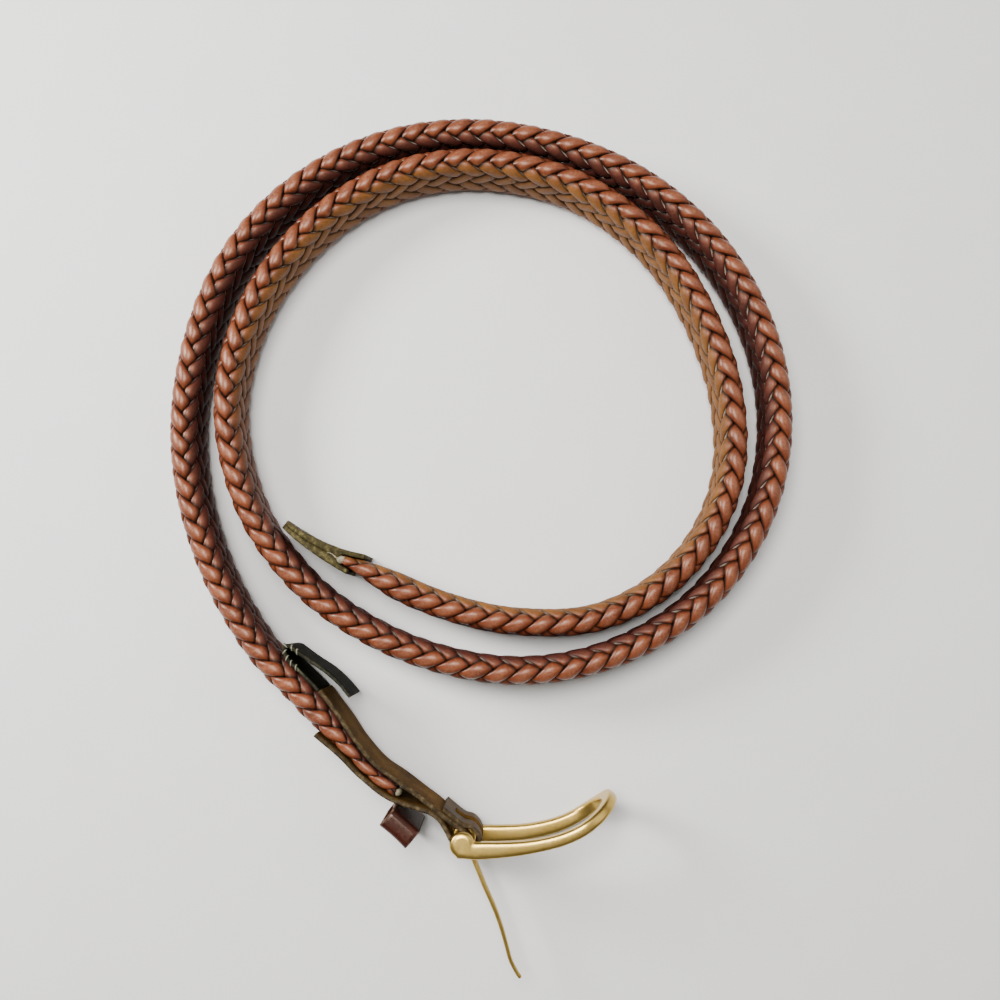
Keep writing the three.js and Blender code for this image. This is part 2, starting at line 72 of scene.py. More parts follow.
# Further in: bearing, clear gap to the loop outside it as a share of LOOP_GAP
LATER_TURNS = [
    (-110, 5.9), (-120, 4.27), (-130, 3.55), (-150, 2.21), (-165, 1.58), (-185, 1.03), (-215, 1.13),
    (-235, 0.85), (-255, 0.47), (-280, 0.34), (-292, 0.43), (-310, 0.93), (-338, 1.64),
    (-358, 1.53), (-380, 0.94), (-400, 0.74), (-420, 0.87), (-440, 1.6), (-465, 1.83), (-484, 1.64),
    (-492, 1.1), (-500, 0.4), (-508.4, -0.35),
]
BLEND_FROM = 110
BLEND_TO = 150


def smoothstep(x, low, high):
    t = np.clip((x - low) / (high - low), 0, 1)
    return t * t * (3 - 2 * t)


def read_table(rows, at):
    """Smooth reading of a table between its rows."""
    last = len(rows) - 1
    step = np.sign(rows[1][0] - rows[0][0])
    i = 0
    while i < last - 1 and (rows[i + 1][0] - at) * step < 0:
        i += 1

    def slope(j):
        before = rows[max(j - 1, 0)]
        after = rows[min(j + 1, last)]
        return (after[1] - before[1]) / (after[0] - before[0])

    span = rows[i + 1][0] - rows[i][0]
    t = min(max((at - rows[i][0]) / span, 0), 1)
    rise = t * t * (3 - 2 * t)
    base = rows[i][1] * (1 - rise) + rows[i + 1][1] * rise
    return base + span * (slope(i) * t * (1 - t) ** 2 - slope(i + 1) * t * t * (1 - t))


def reach_at(bearing):
    on_first = read_table(FIRST_TURN, bearing) * COIL_REACH
    if bearing >= -BLEND_FROM:
        return on_first
    gap = read_table(LATER_TURNS, bearing) * LOOP_GAP
    inside = reach_at(bearing + 360) - STRAP_THICKNESS - gap
    share = smoothstep(-bearing, BLEND_FROM, BLEND_TO)
    return on_first * (1 - share) + inside * share


# The route as closely spaced plan points, their lengths from the bar and the way along it
route_count = round(FIRST_TURN[0][0] - LATER_TURNS[-1][0])
route_bearings = np.linspace(FIRST_TURN[0][0], LATER_TURNS[-1][0], route_count + 1)
route_reach = np.array([reach_at(b) for b in route_bearings])
route_angles = np.radians(route_bearings)
route_points = np.stack([np.cos(route_angles), np.sin(route_angles)], -1) * route_reach[:, None]
route_steps = np.linalg.norm(np.diff(route_points, axis=0), axis=1)
route_lengths = np.concatenate([[0], np.cumsum(route_steps)])
route_ways = np.gradient(route_points, axis=0)
route_ways /= np.linalg.norm(route_ways, axis=1)[:, None]
STRAP_LENGTH = route_lengths[-1]
BRAID_END = STRAP_LENGTH - BRAID_END_BACK


def route_at(distance):
    """Plan points on the strap's middle line, the way along it and the way in towards the coil's middle."""
    distance = np.asarray(distance, float)
    at = np.stack([np.interp(distance, route_lengths, route_points[:, k]) for k in (0, 1)], -1)
    along = np.stack([np.interp(distance, route_lengths, route_ways[:, k]) for k in (0, 1)], -1)
    along /= np.linalg.norm(along, axis=-1, keepdims=True)
    inward = np.stack([along[..., 1], -along[..., 0]], -1)
    return at + SHIFT, along, inward


def lift_at(distance):
    return TAB_LIFT * (1 - smoothstep(distance, 0, LIFT_LENGTH))


def braid_thickness_at(distance):
    from_tab = smoothstep(distance, BRAID_START + TAB_PINCH_LENGTH / 3, BRAID_START + TAB_PINCH_LENGTH)
    at_tail = np.clip((BRAID_END - distance) / TAIL_TAPER_LENGTH, 0, 1)
    tab = TAB_PINCH_THICKNESS + (STRAP_THICKNESS - TAB_PINCH_THICKNESS) * from_tab
    rise = np.sin(at_tail * math.pi / 2) ** 1.3
    tail = BRAID_END_THICKNESS + (STRAP_THICKNESS - BRAID_END_THICKNESS) * rise
    return np.minimum(tab, tail)


# Meshes and pieces


def make_object(name, points_mm, faces, slots=None, floats=None):
    """An object from points in millimetres, with a material slot per face and named values per point."""
    mesh = bpy.data.meshes.new(name)
    mesh.from_pydata((np.asarray(points_mm) * MM).tolist(), [], faces)
    mesh.validate()
    if slots is not None:
        mesh.polygons.foreach_set("material_index", np.asarray(slots, np.int32))
    mesh.polygons.foreach_set("use_smooth", np.full(len(mesh.polygons), True))
    for key, values in (floats or {}).items():
        layer = mesh.attributes.new(key, "FLOAT", "POINT")
        layer.data.foreach_set("value", np.asarray(values, np.float32))
    mesh.update()
    piece = bpy.data.objects.new(name, mesh)
    bpy.context.scene.collection.objects.link(piece)
    return piece


def tube_faces(rings, ring_size, first=0, closed=False):
    """Quads between rings of points that follow each other, with caps at both ends unless closed."""
    faces = []
    for i in range(rings if closed else rings - 1):
        a = first + i * ring_size
        b = first + ((i + 1) % rings) * ring_size
        for k in range(ring_size):
            m = (k + 1) % ring_size
            faces.append((a + k, a + m, b + m, b + k))
    if not closed:
        faces.append(tuple(first + k for k in reversed(range(ring_size))))
        faces.append(tuple(first + (rings - 1) * ring_size + k for k in range(ring_size)))
    return faces


def joined(parts):
    points, faces = [], []
    for more_points, more_faces in parts:
        first = len(points)
        points += [tuple(p) for p in more_points]
        faces += [tuple(first + k for k in face) for face in more_faces]
    return points, faces


def circle(sides):
    """Cosine and sine of evenly spaced angles round a full turn."""
    angles = [2 * math.pi * k / sides for k in range(sides)]
    return [(math.cos(angle), math.sin(angle)) for angle in angles]


def face_outward(piece):
    bm = bmesh.new()
    bm.from_mesh(piece.data)
    bmesh.ops.recalc_face_normals(bm, faces=bm.faces)
    bm.to_mesh(piece.data)
    bm.free()


def apply_modifiers(piece):
    """Replaces a piece's mesh by what its modifiers make of it."""
    graph = bpy.context.evaluated_depsgraph_get()
    mesh = bpy.data.meshes.new_from_object(piece.evaluated_get(graph))
    piece.modifiers.clear()
    piece.data = mesh


def dress(piece, materials, body, slot, *nodes):
    for material in materials:
        piece.data.materials.append(material)
    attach(piece, body)
    if nodes:
        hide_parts(*nodes)
    return piece


# Materials


def new_material(name, roughness, metallic=0.0, specular=0.5):
    material = bpy.data.materials.new(name)
    material.use_nodes = True
    shader = material.node_tree.nodes["Principled BSDF"]
    shader.inputs["Roughness"].default_value = roughness
    shader.inputs["Metallic"].default_value = metallic
    shader.inputs["Specular IOR Level"].default_value = specular
    return material


class Nodes:
    """Short ways to add the nodes that the materials share."""

    def __init__(self, material):
        self.material = material
        self.tree = material.node_tree
        self.shader = self.tree.nodes["Principled BSDF"]
        self.place = self.tree.nodes.new("ShaderNodeTexCoord").outputs["Object"]

    def link(self, a, b):
        self.tree.links.new(a, b)

    def set_input(self, node, key, value):
        if isinstance(value, bpy.types.NodeSocket):
            self.link(value, node.inputs[key])
        else:
            node.inputs[key].default_value = value

    def attribute(self, name):
        node = self.tree.nodes.new("ShaderNodeAttribute")
        node.attribute_name = name
        return node.outputs["Fac"]

    def math(self, operation, a, b=0.0):
        node = self.tree.nodes.new("ShaderNodeMath")
        node.operation = operation
        for key, value in enumerate((a, b)):
            self.set_input(node, key, value)
        return node.outputs["Value"]

    def vector(self, x, y, z):
        node = self.tree.nodes.new("ShaderNodeCombineXYZ")
        for key, value in enumerate((x, y, z)):
            self.set_input(node, key, value)
        return node.outputs["Vector"]

    def noise(self, scale, detail=4.0, roughness=0.55, place=None):
        node = self.tree.nodes.new("ShaderNodeTexNoise")
        self.link(self.place if place is None else place, node.inputs["Vector"])
        node.inputs["Scale"].default_value = scale
        node.inputs["Detail"].default_value = detail
        node.inputs["Roughness"].default_value = roughness
        return node.outputs["Fac"]

    def cells(self, scale):
        node = self.tree.nodes.new("ShaderNodeTexVoronoi")
        self.link(self.place, node.inputs["Vector"])
        node.feature = "DISTANCE_TO_EDGE"
        node.inputs["Scale"].default_value = scale
        return node.outputs["Distance"]

    def ramp(self, value, *stops):
        """Stops are (place, colour) with a colour of three numbers or one."""
        node = self.tree.nodes.new("ShaderNodeValToRGB")
        self.link(value, node.inputs["Fac"])
        elements = node.color_ramp.elements
        while len(elements) < len(stops):
            elements.new(0.5)
        for element, (place, colour) in zip(elements, stops):
            element.position = place
            three = colour if isinstance(colour, tuple) else (colour, colour, colour)
            element.color = (*three, 1)
        return node.outputs["Color"]

    def mix(self, share, a, b, blend="MIX"):
        node = self.tree.nodes.new("ShaderNodeMix")
        node.data_type = "RGBA"
        node.blend_type = blend
        self.set_input(node, 0, share)
        for key, value in ((6, a), (7, b)):
            self.set_input(node, key, (*value, 1) if isinstance(value, tuple) else value)
        return node.outputs[2]

    def shade(self, colour, by):
        return self.mix(1.0, colour, by, "MULTIPLY")

    def bump(self, height, strength, distance_mm, below=None):
        node = self.tree.nodes.new("ShaderNodeBump")
        self.link(height, node.inputs["Height"])
        node.inputs["Strength"].default_value = strength
        node.inputs["Distance"].default_value = distance_mm * MM
        if below is not None:
            self.link(below, node.inputs["Normal"])
        return node.outputs["Normal"]

    def finish(self, colour, roughness=None, normal=None):
        self.link(colour, self.shader.inputs["Base Color"])
        if roughness is not None:
            self.link(roughness, self.shader.inputs["Roughness"])
        if normal is not None:
            self.link(normal, self.shader.inputs["Normal"])
        return self.material


# Colours of the leather, as linear values
CREST_RED = (0.152, 0.037, 0.013)
CREST_DEEP = (0.078, 0.0145, 0.0052)
# The two face reds are painted shade, for lace faces that sit between the loops of the coil
FACE_SHADE_RED = (0.056, 0.0088, 0.0056)
FACE_SHADE_DEEP = (0.024, 0.0036, 0.0026)
FACE_TAN = (0.165, 0.062, 0.0075)
TAN_DEEP = (0.088, 0.029, 0.0035)
# Crown colour: partly wear, partly a painted highlight
CROWN_WEAR_HIGHLIGHT = (0.34, 0.150, 0.085)
EDGE_PALE = (0.42, 0.31, 0.23)
# Painted shade on the laces' raw sides
EDGE_SHADE = (0.014, 0.005, 0.003)
WARM_SHINE = (1.0, 0.74, 0.60, 1)


def make_lace_leather():
    """Grain side of the laces: red-brown on the long edges, dark red painted shade on the faces of the outer
    turns, more tan on the inner turn's inner face.
    """
    n = Nodes(new_material("lace_leather", 0.36, specular=0.42))
    n.shader.inputs["Specular Tint"].default_value = WARM_SHINE
    face = n.attribute("face_share")
    side = n.attribute("side")
    ride = n.attribute("ride")
    run = n.attribute("run")
    off_middle = n.math("ABSOLUTE", side)
    along_lace = n.vector(run, side, n.math("MULTIPLY", n.attribute("lace"), 7.0))
    down_fibres = n.vector(n.math("MULTIPLY", run, 0.55), n.math("MULTIPLY", side, 5.0), 0.0)
    blotch = n.noise(160.0, 5.0, 0.6)
    fine = n.noise(1500.0, 4.0, 0.6)
    fibres = n.noise(1.0, 4.0, 0.6, place=down_fibres)
    crest = n.ramp(blotch, (0.3, CREST_DEEP), (0.62, CREST_RED))
    tan = n.ramp(blotch, (0.3, TAN_DEEP), (0.62, FACE_TAN))
    # Faces of the outer turns take the dark red painted shade; the inner turn's inner face takes the tan
    red = n.ramp(blotch, (0.3, FACE_SHADE_DEEP), (0.62, FACE_SHADE_RED))
    dye_and_painted_light = n.mix(face, crest, n.mix(n.attribute("tan_share"), red, tan))
    dye_and_painted_light = n.shade(dye_and_painted_light, n.ramp(fibres, (0.35, 0.8), (0.65, 1.1)))
    # Lighter on the crown of each loop: partly wear, partly a painted highlight
    off_sides = n.ramp(off_middle, (0.1, 1.0), (0.75, 0.0))
    crown = n.math("MULTIPLY", off_sides, n.ramp(ride, (0.55, 0.0), (1.0, 1.0)))
    wear_and_highlight = n.math("MULTIPLY", n.ramp(fine, (0.35, 0.1), (0.75, 0.5)), crown)
    wear_and_highlight = n.math("MULTIPLY", wear_and_highlight, n.math("SUBTRACT", 1.0, n.math("MULTIPLY", face, 0.75)))
    dye_and_painted_light = n.mix(wear_and_highlight, dye_and_painted_light, CROWN_WEAR_HIGHLIGHT)
    # Painted shade along the laces' sides, in the slits, and where they dive under
    dye_and_painted_light = n.shade(dye_and_painted_light, n.ramp(off_middle, (0.8, 1.0), (0.97, 0.13)))
    dye_and_painted_light = n.shade(dye_and_painted_light, n.ramp(ride, (0.1, 0.12), (0.55, 1.0)))
    patches = n.noise(2.2, 2.0, 0.5, place=along_lace)
    dye_and_painted_light = n.shade(dye_and_painted_light, n.ramp(patches, (0.3, 0.84), (0.7, 1.1)))
    shine = n.math("ADD", n.ramp(fine, (0.3, 0.29), (0.75, 0.42)), n.math("MULTIPLY", face, 0.26))
    grain = n.cells(1900.0)
    relief = n.bump(grain, 0.22, 0.05)
    relief = n.bump(fibres, 0.25, 0.07, below=relief)
    return n.finish(dye_and_painted_light, shine, relief)


def make_lace_edge():
    """Raw cut sides of the laces: pale raw leather where painted as lit and near their upper corner, painted
    shade elsewhere, lower down and where the laces dive.
    """
    n = Nodes(new_material("lace_cut_edge", 0.6, specular=0.3))
    fuzz = n.noise(900.0, 5.0, 0.65)
    raw = n.ramp(fuzz, (0.3, (0.16, 0.08, 0.05)), (0.52, EDGE_PALE), (0.8, (0.58, 0.47, 0.38)))
    colour = n.mix(n.attribute("pale"), EDGE_SHADE, raw)
    # Painted shade lower down the raw sides, deeper in the slits, and where the laces dive
    colour = n.shade(colour, n.ramp(n.attribute("dome"), (0.2, 0.06), (0.52, 1.0)))
    colour = n.shade(colour, n.ramp(n.attribute("ride"), (0.0, 0.15), (0.5, 1.0)))
    return n.finish(colour, None, n.bump(fuzz, 0.5, 0.1))


def make_lace_back():
    """Undyed flesh side, seen only where laces dive."""
    n = Nodes(new_material("lace_flesh_side", 0.8, specular=0.2))
    fuzz = n.noise(700.0, 5.0, 0.65)
    colour = n.ramp(fuzz, (0.3, (0.03, 0.012, 0.006)), (0.7, (0.07, 0.03, 0.016)))
    return n.finish(colour, None, n.bump(fuzz, 0.4, 0.1))


def make_ply_leather(name, dark, light, roughness, grain_scale, specular=0.45):
    """A leather face with grain and mottling."""
    n = Nodes(new_material(name, roughness, specular=specular))
    n.shader.inputs["Specular Tint"].default_value = WARM_SHINE
    blotch = n.noise(130.0, 5.0, 0.6)
    fine = n.noise(1300.0, 4.0, 0.6)
    colour = n.ramp(blotch, (0.28, dark), (0.7, light))
    colour = n.shade(colour, n.ramp(fine, (0.3, 0.7), (0.7, 1.2)))
    grain = n.cells(grain_scale)
    relief = n.bump(grain, 0.2, 0.05)
    relief = n.bump(fine, 0.18, 0.05, below=relief)
    shine = n.ramp(fine, (0.3, roughness - 0.05), (0.75, min(roughness + 0.1, 1.0)))
    return n.finish(colour, shine, relief)


def make_suede():
    """Fuzzy flesh side, olive brown, with a short nap."""
    n = Nodes(new_material("suede_flesh", 0.85, specular=0.05))
    blotch = n.noise(110.0, 6.0, 0.65)
    nap = n.noise(1100.0, 6.0, 0.7)
    colour = n.ramp(blotch, (0.3, (0.050, 0.0245, 0.0055)), (0.7, (0.140, 0.070, 0.0155)))
    colour = n.shade(colour, n.ramp(nap, (0.3, 0.55), (0.72, 1.35)))
    return n.finish(colour, None, n.bump(nap, 0.6, 0.18))


def make_cut_edge(name, dark, middle, light):
    """The raw cut edge of a ply, fibrous, with pale specks."""
    n = Nodes(new_material(name, 0.8, specular=0.15))
    fuzz = n.noise(620.0, 6.0, 0.7)
    specks = n.noise(1500.0, 3.0, 0.6)
    colour = n.ramp(fuzz, (0.3, dark), (0.52, middle), (0.74, light))
    colour = n.mix(n.ramp(specks, (0.6, 0.0), (0.75, 0.55)), colour, light)
    return n.finish(colour, None, n.bump(fuzz, 0.6, 0.15))


def make_brass():
    """Satin cast brass, cloudy in tone, with faint pits."""
    n = Nodes(new_material("satin_brass", 0.27, metallic=1.0))
    cloud = n.noise(70.0, 5.0, 0.6)
    fine = n.noise(900.0, 5.0, 0.65)
    pits = n.noise(950.0, 3.0, 0.5)
    colour = n.ramp(cloud, (0.3, (0.46, 0.30, 0.070)), (0.7, (0.62, 0.42, 0.115)))
    colour = n.mix(n.ramp(pits, (0.64, 0.0), (0.76, 0.05)), colour, (0.22, 0.14, 0.04))
    shine = n.ramp(fine, (0.3, 0.27), (0.72, 0.37))
    relief = n.bump(n.noise(70.0, 2.0, 0.5), 0.12, 0.3)
    relief = n.bump(fine, 0.02, 0.02, below=relief)
    return n.finish(colour, shine, relief)


def make_pale(name, dark, light, roughness, scale):
    """Thread or dried glue: pale, with fine uneven tone."""
    n = Nodes(new_material(name, roughness, specular=0.3))
    twist = n.noise(scale, 3.0, 0.6)
    return n.finish(n.ramp(twist, (0.3, dark), (0.7, light)), None, n.bump(twist, 0.4, 0.05))


lace_leather = make_lace_leather()
lace_edge = make_lace_edge()
lace_back = make_lace_back()
grain_side = make_ply_leather(
    "ply_grain_side", (0.030, 0.0155, 0.0042), (0.085, 0.044, 0.0115), 0.6, 1500.0, specular=0.1
)
keeper_leather = make_ply_leather(
    "keeper_leather", (0.012, 0.0026, 0.0018), (0.044, 0.0085, 0.0042), 0.3, 1300.0, specular=0.4
)
strip_leather = make_ply_leather(
    "strip_leather", (0.0016, 0.0016, 0.0005), (0.0090, 0.0088, 0.0028), 0.7, 1200.0, specular=0.02
)
suede = make_suede()
ply_edge, tail_edge, strip_edge, keeper_edge = [
    make_cut_edge(name + "_cut_edge", dark, middle, light)
    for name, dark, middle, light in (
        ("ply", (0.008, 0.0050, 0.0020), (0.038, 0.024, 0.0095), (0.125, 0.090, 0.046)),
        ("tail", (0.008, 0.006, 0.002), (0.044, 0.034, 0.010), (0.16, 0.13, 0.05)),
        ("strip", (0.003, 0.003, 0.0015), (0.012, 0.012, 0.006), (0.09, 0.09, 0.05)),
        ("keeper", (0.020, 0.010, 0.007), (0.055, 0.028, 0.018), (0.20, 0.13, 0.09)),
    )
]
brass = make_brass()
thread = make_pale("pale_thread", (0.10, 0.10, 0.06), (0.32, 0.31, 0.21), 0.6, 2600.0)
glue = make_pale("dried_glue", (0.07, 0.06, 0.032), (0.27, 0.23, 0.15), 0.5, 1100.0)

# Braid: eight laces lean each way round a flattened tube, each over two and under two
LACES_EACH_WAY = 8
LACE_FILL = 0.978
LACE_THICKNESS = 1.9
LACE_INSET = 1.6
LACE_WAVE = 0.78
LACE_SNAP = 2.4
COLUMN_SHARE = 1 / 32
LACE_STEP = 0.95
LACE_UNEVEN = 0.02
# Where the column of loops on the long edge has its middle, which wanders as the belt twists a little:
# distance from the bar, angle from the very top towards the inside
CREST_COLUMN = [
    (0, -0.25), (100, -0.32), (190, -0.5), (240, -0.4), (330, -0.28), (400, -0.37), (530, -0.4),
    (640, -0.33), (770, -0.35), (880, -0.25), (1000, -0.35), (1080, -0.3),
]
# The columns on the long edges are wider than those on the flat faces, by this share
COLUMN_SPREAD = 0.15
# How many loops lie between the bar and a place along the strap, which bunches where it bends:
# distance from the bar, loops
LOOPS_UP_TO = [
    (0, 0.39), (75, 12.16), (115, 18.34), (155, 24.46), (195, 30.46), (235, 36.41), (275, 42.57),
    (315, 48.5), (355, 54.32), (395, 59.99), (435, 65.85), (475, 71.76), (515, 77.84), (555, 83.78),
    (595, 89.69), (635, 95.81), (675, 101.61), (715, 107.59), (755, 113.25), (795, 118.99),
    (835, 124.82), (875, 130.67), (915, 136.39), (955, 142.43), (995, 148.55), (1080, 161.32),
]
LOOP_EASE = (-12.0, -4.0, 4.0, 12.0)
# Stretches where the laces' raw sides are painted pale, as if lit, instead of in painted shade: distance
# from the bar, share
LIT_EDGES_OUTWARD = [(0, 0.4), (60, 1), (230, 1), (270, 0.6), (560, 0.6), (620, 1), (695, 1), (730, 0.35)]
LIT_EDGES_INWARD = [
    (0, 0.3), (230, 0.15), (320, 1), (450, 1), (520, 0.3), (840, 0.3), (870, 1), (920, 1),
    (950, 0.3),
]
# Families of laces, by the way they lean
OUTWARD = 0
INWARD = 1
# The inner turn's inner face is more tan, from one distance along the strap to another
TAN_FROM_TO = (620.0, 720.0)
# The lace's section: across as a share of half its width, and up as a share of its thickness
LACE_SECTION = [
    (-0.98, 0.02), (-1.0, 0.3), (-0.97, 0.6), (-0.82, 0.83), (-0.42, 0.96), (0.0, 1.0),
    (0.42, 0.96), (0.82, 0.83), (0.97, 0.6), (1.0, 0.3), (0.98, 0.02), (0.0, 0.0),
]
# Faces between those points that are raw sides, and those that are the flesh side
LACE_SIDE_FACES = {0, 1, 8, 9}
LACE_UNDER_FACES = {10, 11}


def loops_before(distance):
    """How many loops lie between the bar and a distance, eased between the counted places."""
    places, counts = zip(*LOOPS_UP_TO)
    return np.mean([np.interp(distance + ease, places, counts) for ease in LOOP_EASE], axis=0)


def around_section(u, thickness, inset):
    """A point across and up in the strap's section, and the way out of it, at a place on its outline."""
    radius = thickness / 2
    quarter = math.pi * radius / 2
    flat = STRAP_WIDTH - thickness
    total = 4 * quarter + 2 * flat
    u = np.mod(u + total / 2, total) - total / 2
    side = np.sign(u) + (u == 0)
    far = np.abs(u)
    on_top = far < quarter
    on_flat = (far >= quarter) & (far < quarter + flat)
    top_angle = far / radius
    low_angle = (far - quarter - flat) / radius
    out_across = np.where(on_top, np.sin(top_angle), np.where(on_flat, 1.0, np.cos(low_angle)))
    out_up = np.where(on_top, np.cos(top_angle), np.where(on_flat, 0.0, -np.sin(low_angle)))
    middle_up = np.where(
        on_top, STRAP_WIDTH - radius, np.where(on_flat, STRAP_WIDTH - radius - (far - quarter), radius)
    )
    deep = radius - inset
    return side * out_across * deep, middle_up + out_up * deep, side * out_across, out_up


def crest_at(distance):
    return np.interp(distance, [row[0] for row in CREST_COLUMN], [row[1] for row in CREST_COLUMN])


def perimeter_at(thickness):
    return 2 * (STRAP_WIDTH - thickness) + math.pi * thickness


def squeeze_at(thickness):
    """Laces flatten where the braid is pinched."""
    return np.clip(thickness / STRAP_THICKNESS, 0.12, 1) ** 0.9


def lace_surface(family, number, distance, section):
    """A lace wrapped round the strap: its points, their way from the crest column, and how high it rides."""
    way = -1 if family == OUTWARD else 1
    share = (number + way * loops_before(distance)) / LACES_EACH_WAY - COLUMN_SHARE
    # Over two and under two: four waves on the way round, and the other family's are the other way up
    wave = np.tanh(LACE_SNAP * np.cos(8 * math.pi * share)) / math.tanh(LACE_SNAP)
    wave = wave if family == OUTWARD else -wave
    perimeter = perimeter_at(braid_thickness_at(distance))
    spread = 1 + COLUMN_SPREAD * np.cos(4 * math.pi * share)
    pitch = 1 / np.abs(np.gradient(loops_before(distance), distance))
    slope = np.gradient(share, distance) * perimeter * spread
    lean = np.hypot(1, slope)
    uneven = 1 + LACE_UNEVEN * np.sin(distance * 1.2 + number * 2.3)
    half = LACE_FILL / 2 * pitch * np.abs(slope) / lean * uneven
    beside = section[None, :, 0] * half[:, None]
    along_at = distance[:, None] - beside * (slope / lean)[:, None]
    along_at = np.clip(along_at, distance[0], distance[-1])
    near_share = np.mod(share + 0.5, 1) - 0.5
    near_share += COLUMN_SPREAD * np.sin(4 * math.pi * share) / (4 * math.pi)
    round_share = near_share[:, None] + beside / (lean * perimeter)[:, None]
    thickness = braid_thickness_at(along_at)
    from_crest = round_share * perimeter_at(thickness)
    u = from_crest + crest_at(along_at) * thickness / 2
    squeeze = squeeze_at(thickness)
    across, up, out_across, out_up = around_section(u, thickness, LACE_INSET * squeeze)
    out = (wave[:, None] * LACE_WAVE + (section[None, :, 1] - 0.5) * LACE_THICKNESS) * squeeze
    at, _, inward = route_at(along_at)
    plan = at + inward * (across + out_across * out)[..., None]
    # What rests on the floor is pressed flat there
    height = lift_at(along_at) + np.maximum(up + out_up * out, 0.0)
    return np.dstack([plan, height]), from_crest, thickness, wave


def make_laces(name, family, numbers):
    start = BRAID_START + 0.4
    end = BRAID_END - 0.1
    count = int((end - start) / LACE_STEP) + 1
    distance = np.linspace(start, end, count)
    section = np.array(LACE_SECTION)
    size = len(section)
    shape = (count, size)
    face_slots = [1 if k in LACE_SIDE_FACES else (2 if k in LACE_UNDER_FACES else 0) for k in range(size)]
    points, faces, slots = [], [], []
    values = {}
    for number in numbers:
        surface, from_crest, thickness, wave = lace_surface(family, number, distance, section)
        middle = surface.mean(axis=1)
        run = np.concatenate([[0], np.cumsum(np.linalg.norm(np.diff(middle, axis=0), axis=1))])
        faces.extend(tube_faces(count, size, len(points) * count * size))
        points.append(surface.reshape(-1, 3))
        slots.extend(face_slots * (count - 1) + [1, 1])
        quarter = math.pi * thickness / 4
        column = perimeter_at(thickness) / LACES_EACH_WAY
        wrapped = np.mod(from_crest + 4 * column, 8 * column) - 4 * column
        from_top = np.abs(wrapped)
        low_edge = 4 * column - quarter
        # face_share picks out the faces, which take the dark red painted shade or the tan
        face_share = smoothstep(from_top, 0.45 * quarter, 0.85 * quarter)
        face_share *= 1 - smoothstep(from_top, low_edge, low_edge + 0.6 * quarter)
        tan_share = np.where(wrapped > 0, smoothstep(distance, *TAN_FROM_TO)[:, None], 0.0)
        edge_lit_share = np.interp(distance, *zip(*(LIT_EDGES_OUTWARD if family == OUTWARD else LIT_EDGES_INWARD)))[:, None]
        # Raw sides are pale in the listed stretches as if lit, in painted shade elsewhere, with a painted
        # highlight at their outer ends
        pale = 0.03 + 0.85 * edge_lit_share * smoothstep(from_top, 0.6 * column, 0.85 * column)
        outer_ends = smoothstep(-wrapped, 0.36 * column, 0.46 * column)
        pale += 0.6 * outer_ends * (1 - smoothstep(from_top, 2.4, 3.4))
        for key, value in (
            ("run", run[:, None]),
            ("side", section[None, :, 0]),
            ("dome", section[None, :, 1]),
            ("ride", wave[:, None]),
            ("face_share", face_share),
            ("tan_share", tan_share),
            ("pale", pale),
            ("lace", np.array([[float(number + LACES_EACH_WAY * family)]])),
        ):
            values.setdefault(key, []).append(np.broadcast_to(value, shape).ravel())
    floats = {key: np.concatenate(parts) for key, parts in values.items()}
    piece = make_object(name, np.concatenate(points), faces, slots, floats)
    materials = [lace_leather, lace_edge, lace_back]
    return dress(piece, materials, "leather", "braid_leather", "braided_strap")


half_way = LACES_EACH_WAY // 2
make_laces("laces_outward_a", OUTWARD, range(0, half_way))
make_laces("laces_outward_b", OUTWARD, range(half_way, LACES_EACH_WAY))
make_laces("laces_inward_a", INWARD, range(0, half_way))
make_laces("laces_inward_b", INWARD, range(half_way, LACES_EACH_WAY))

# Plies, on the same lines as the CAD part's
FOLD_THICKNESS = 1.2
BACK_PLY_THICKNESS = 1.3
TAIL_PLY_THICKNESS = 1.4
CURL_THICKNESS = 0.9
FOLD_FRONT_REACH = 50.0
BACK_PLY_REACH = 58.0
TAIL_FRONT_LENGTH = 23.5
TAIL_BACK_LENGTH = 26.5
TIP_ROUND_LENGTH = 17.0
TAIL_TIP_THICKNESS = 2.6
TAIL_TIP_HOLLOW = 1.4
TAIL_SEAM = 0.08
TIP_END_HEIGHT = 3.2
STUB_RADIUS = 1.1
STUB_DEPTH = 3.0
CURL_LEG_LENGTH = 12.0
CURL_FREE_LENGTH = 21.5
CURL_OPEN = 7.0
PLY_SPACING = 8.0
CURL_SPACING = 4.0
TAB_HEADING = math.radians(-41)
NECK_BEHIND_BAR = 8.0
NECK_LENGTH = 3.5
NECK_OFFSET = 1.8
NECK_JOIN = 1.0
BACK_PLY_PAST_BAR = 0.35
FOLD_SLACK = 0.6
SLOT_HEIGHT = 5.8
SLOT_BEHIND_BAR = 6.5
# How much of a sheet's thickness each softened corner takes
SHEET_CORNER = 0.22
BAR_RADIUS = 1.7
BOSS_RADIUS = 3.5
FRAME_HEIGHT = 27.6
TAB_MIDDLE = FRAME_HEIGHT / 2
CURL_CURVE = [
    (-0.12, 0.14), (-0.17, 0.28), (-0.12, 0.4), (0.02, 0.47), (0.2, 0.56), (0.45, 0.71), (0.7, 0.8),
    (0.9, 0.82),
]

bar_plan = route_at(0.0)[0]


def beside_strap(distance, offset):
    at, _, inward = route_at(distance)
    place = at + inward * offset
    return np.array([place[0], place[1], float(lift_at(distance))])


def turn_and_place(points, heading, height):
    """Points about the bar, as (along, across, up), turned to a heading and put at the bar."""
    cos, sin = math.cos(heading), math.sin(heading)
    points = np.asarray(points, float)
    x = bar_plan[0] + points[:, 0] * cos - points[:, 1] * sin
    y = bar_plan[1] + points[:, 0] * sin + points[:, 1] * cos
    return np.column_stack([x, y, points[:, 2] + height])


def beside_bar(along, across, height=TAB_LIFT):
    return turn_and_place([(along, across, 0.0)], TAB_HEADING, height)[0]


def points_beside(start, end, spacing, offset_at):
    count = max(1, round(abs(end - start) / spacing))
    return [beside_strap(d, offset_at(d)) for d in np.linspace(start, end, count + 1)]


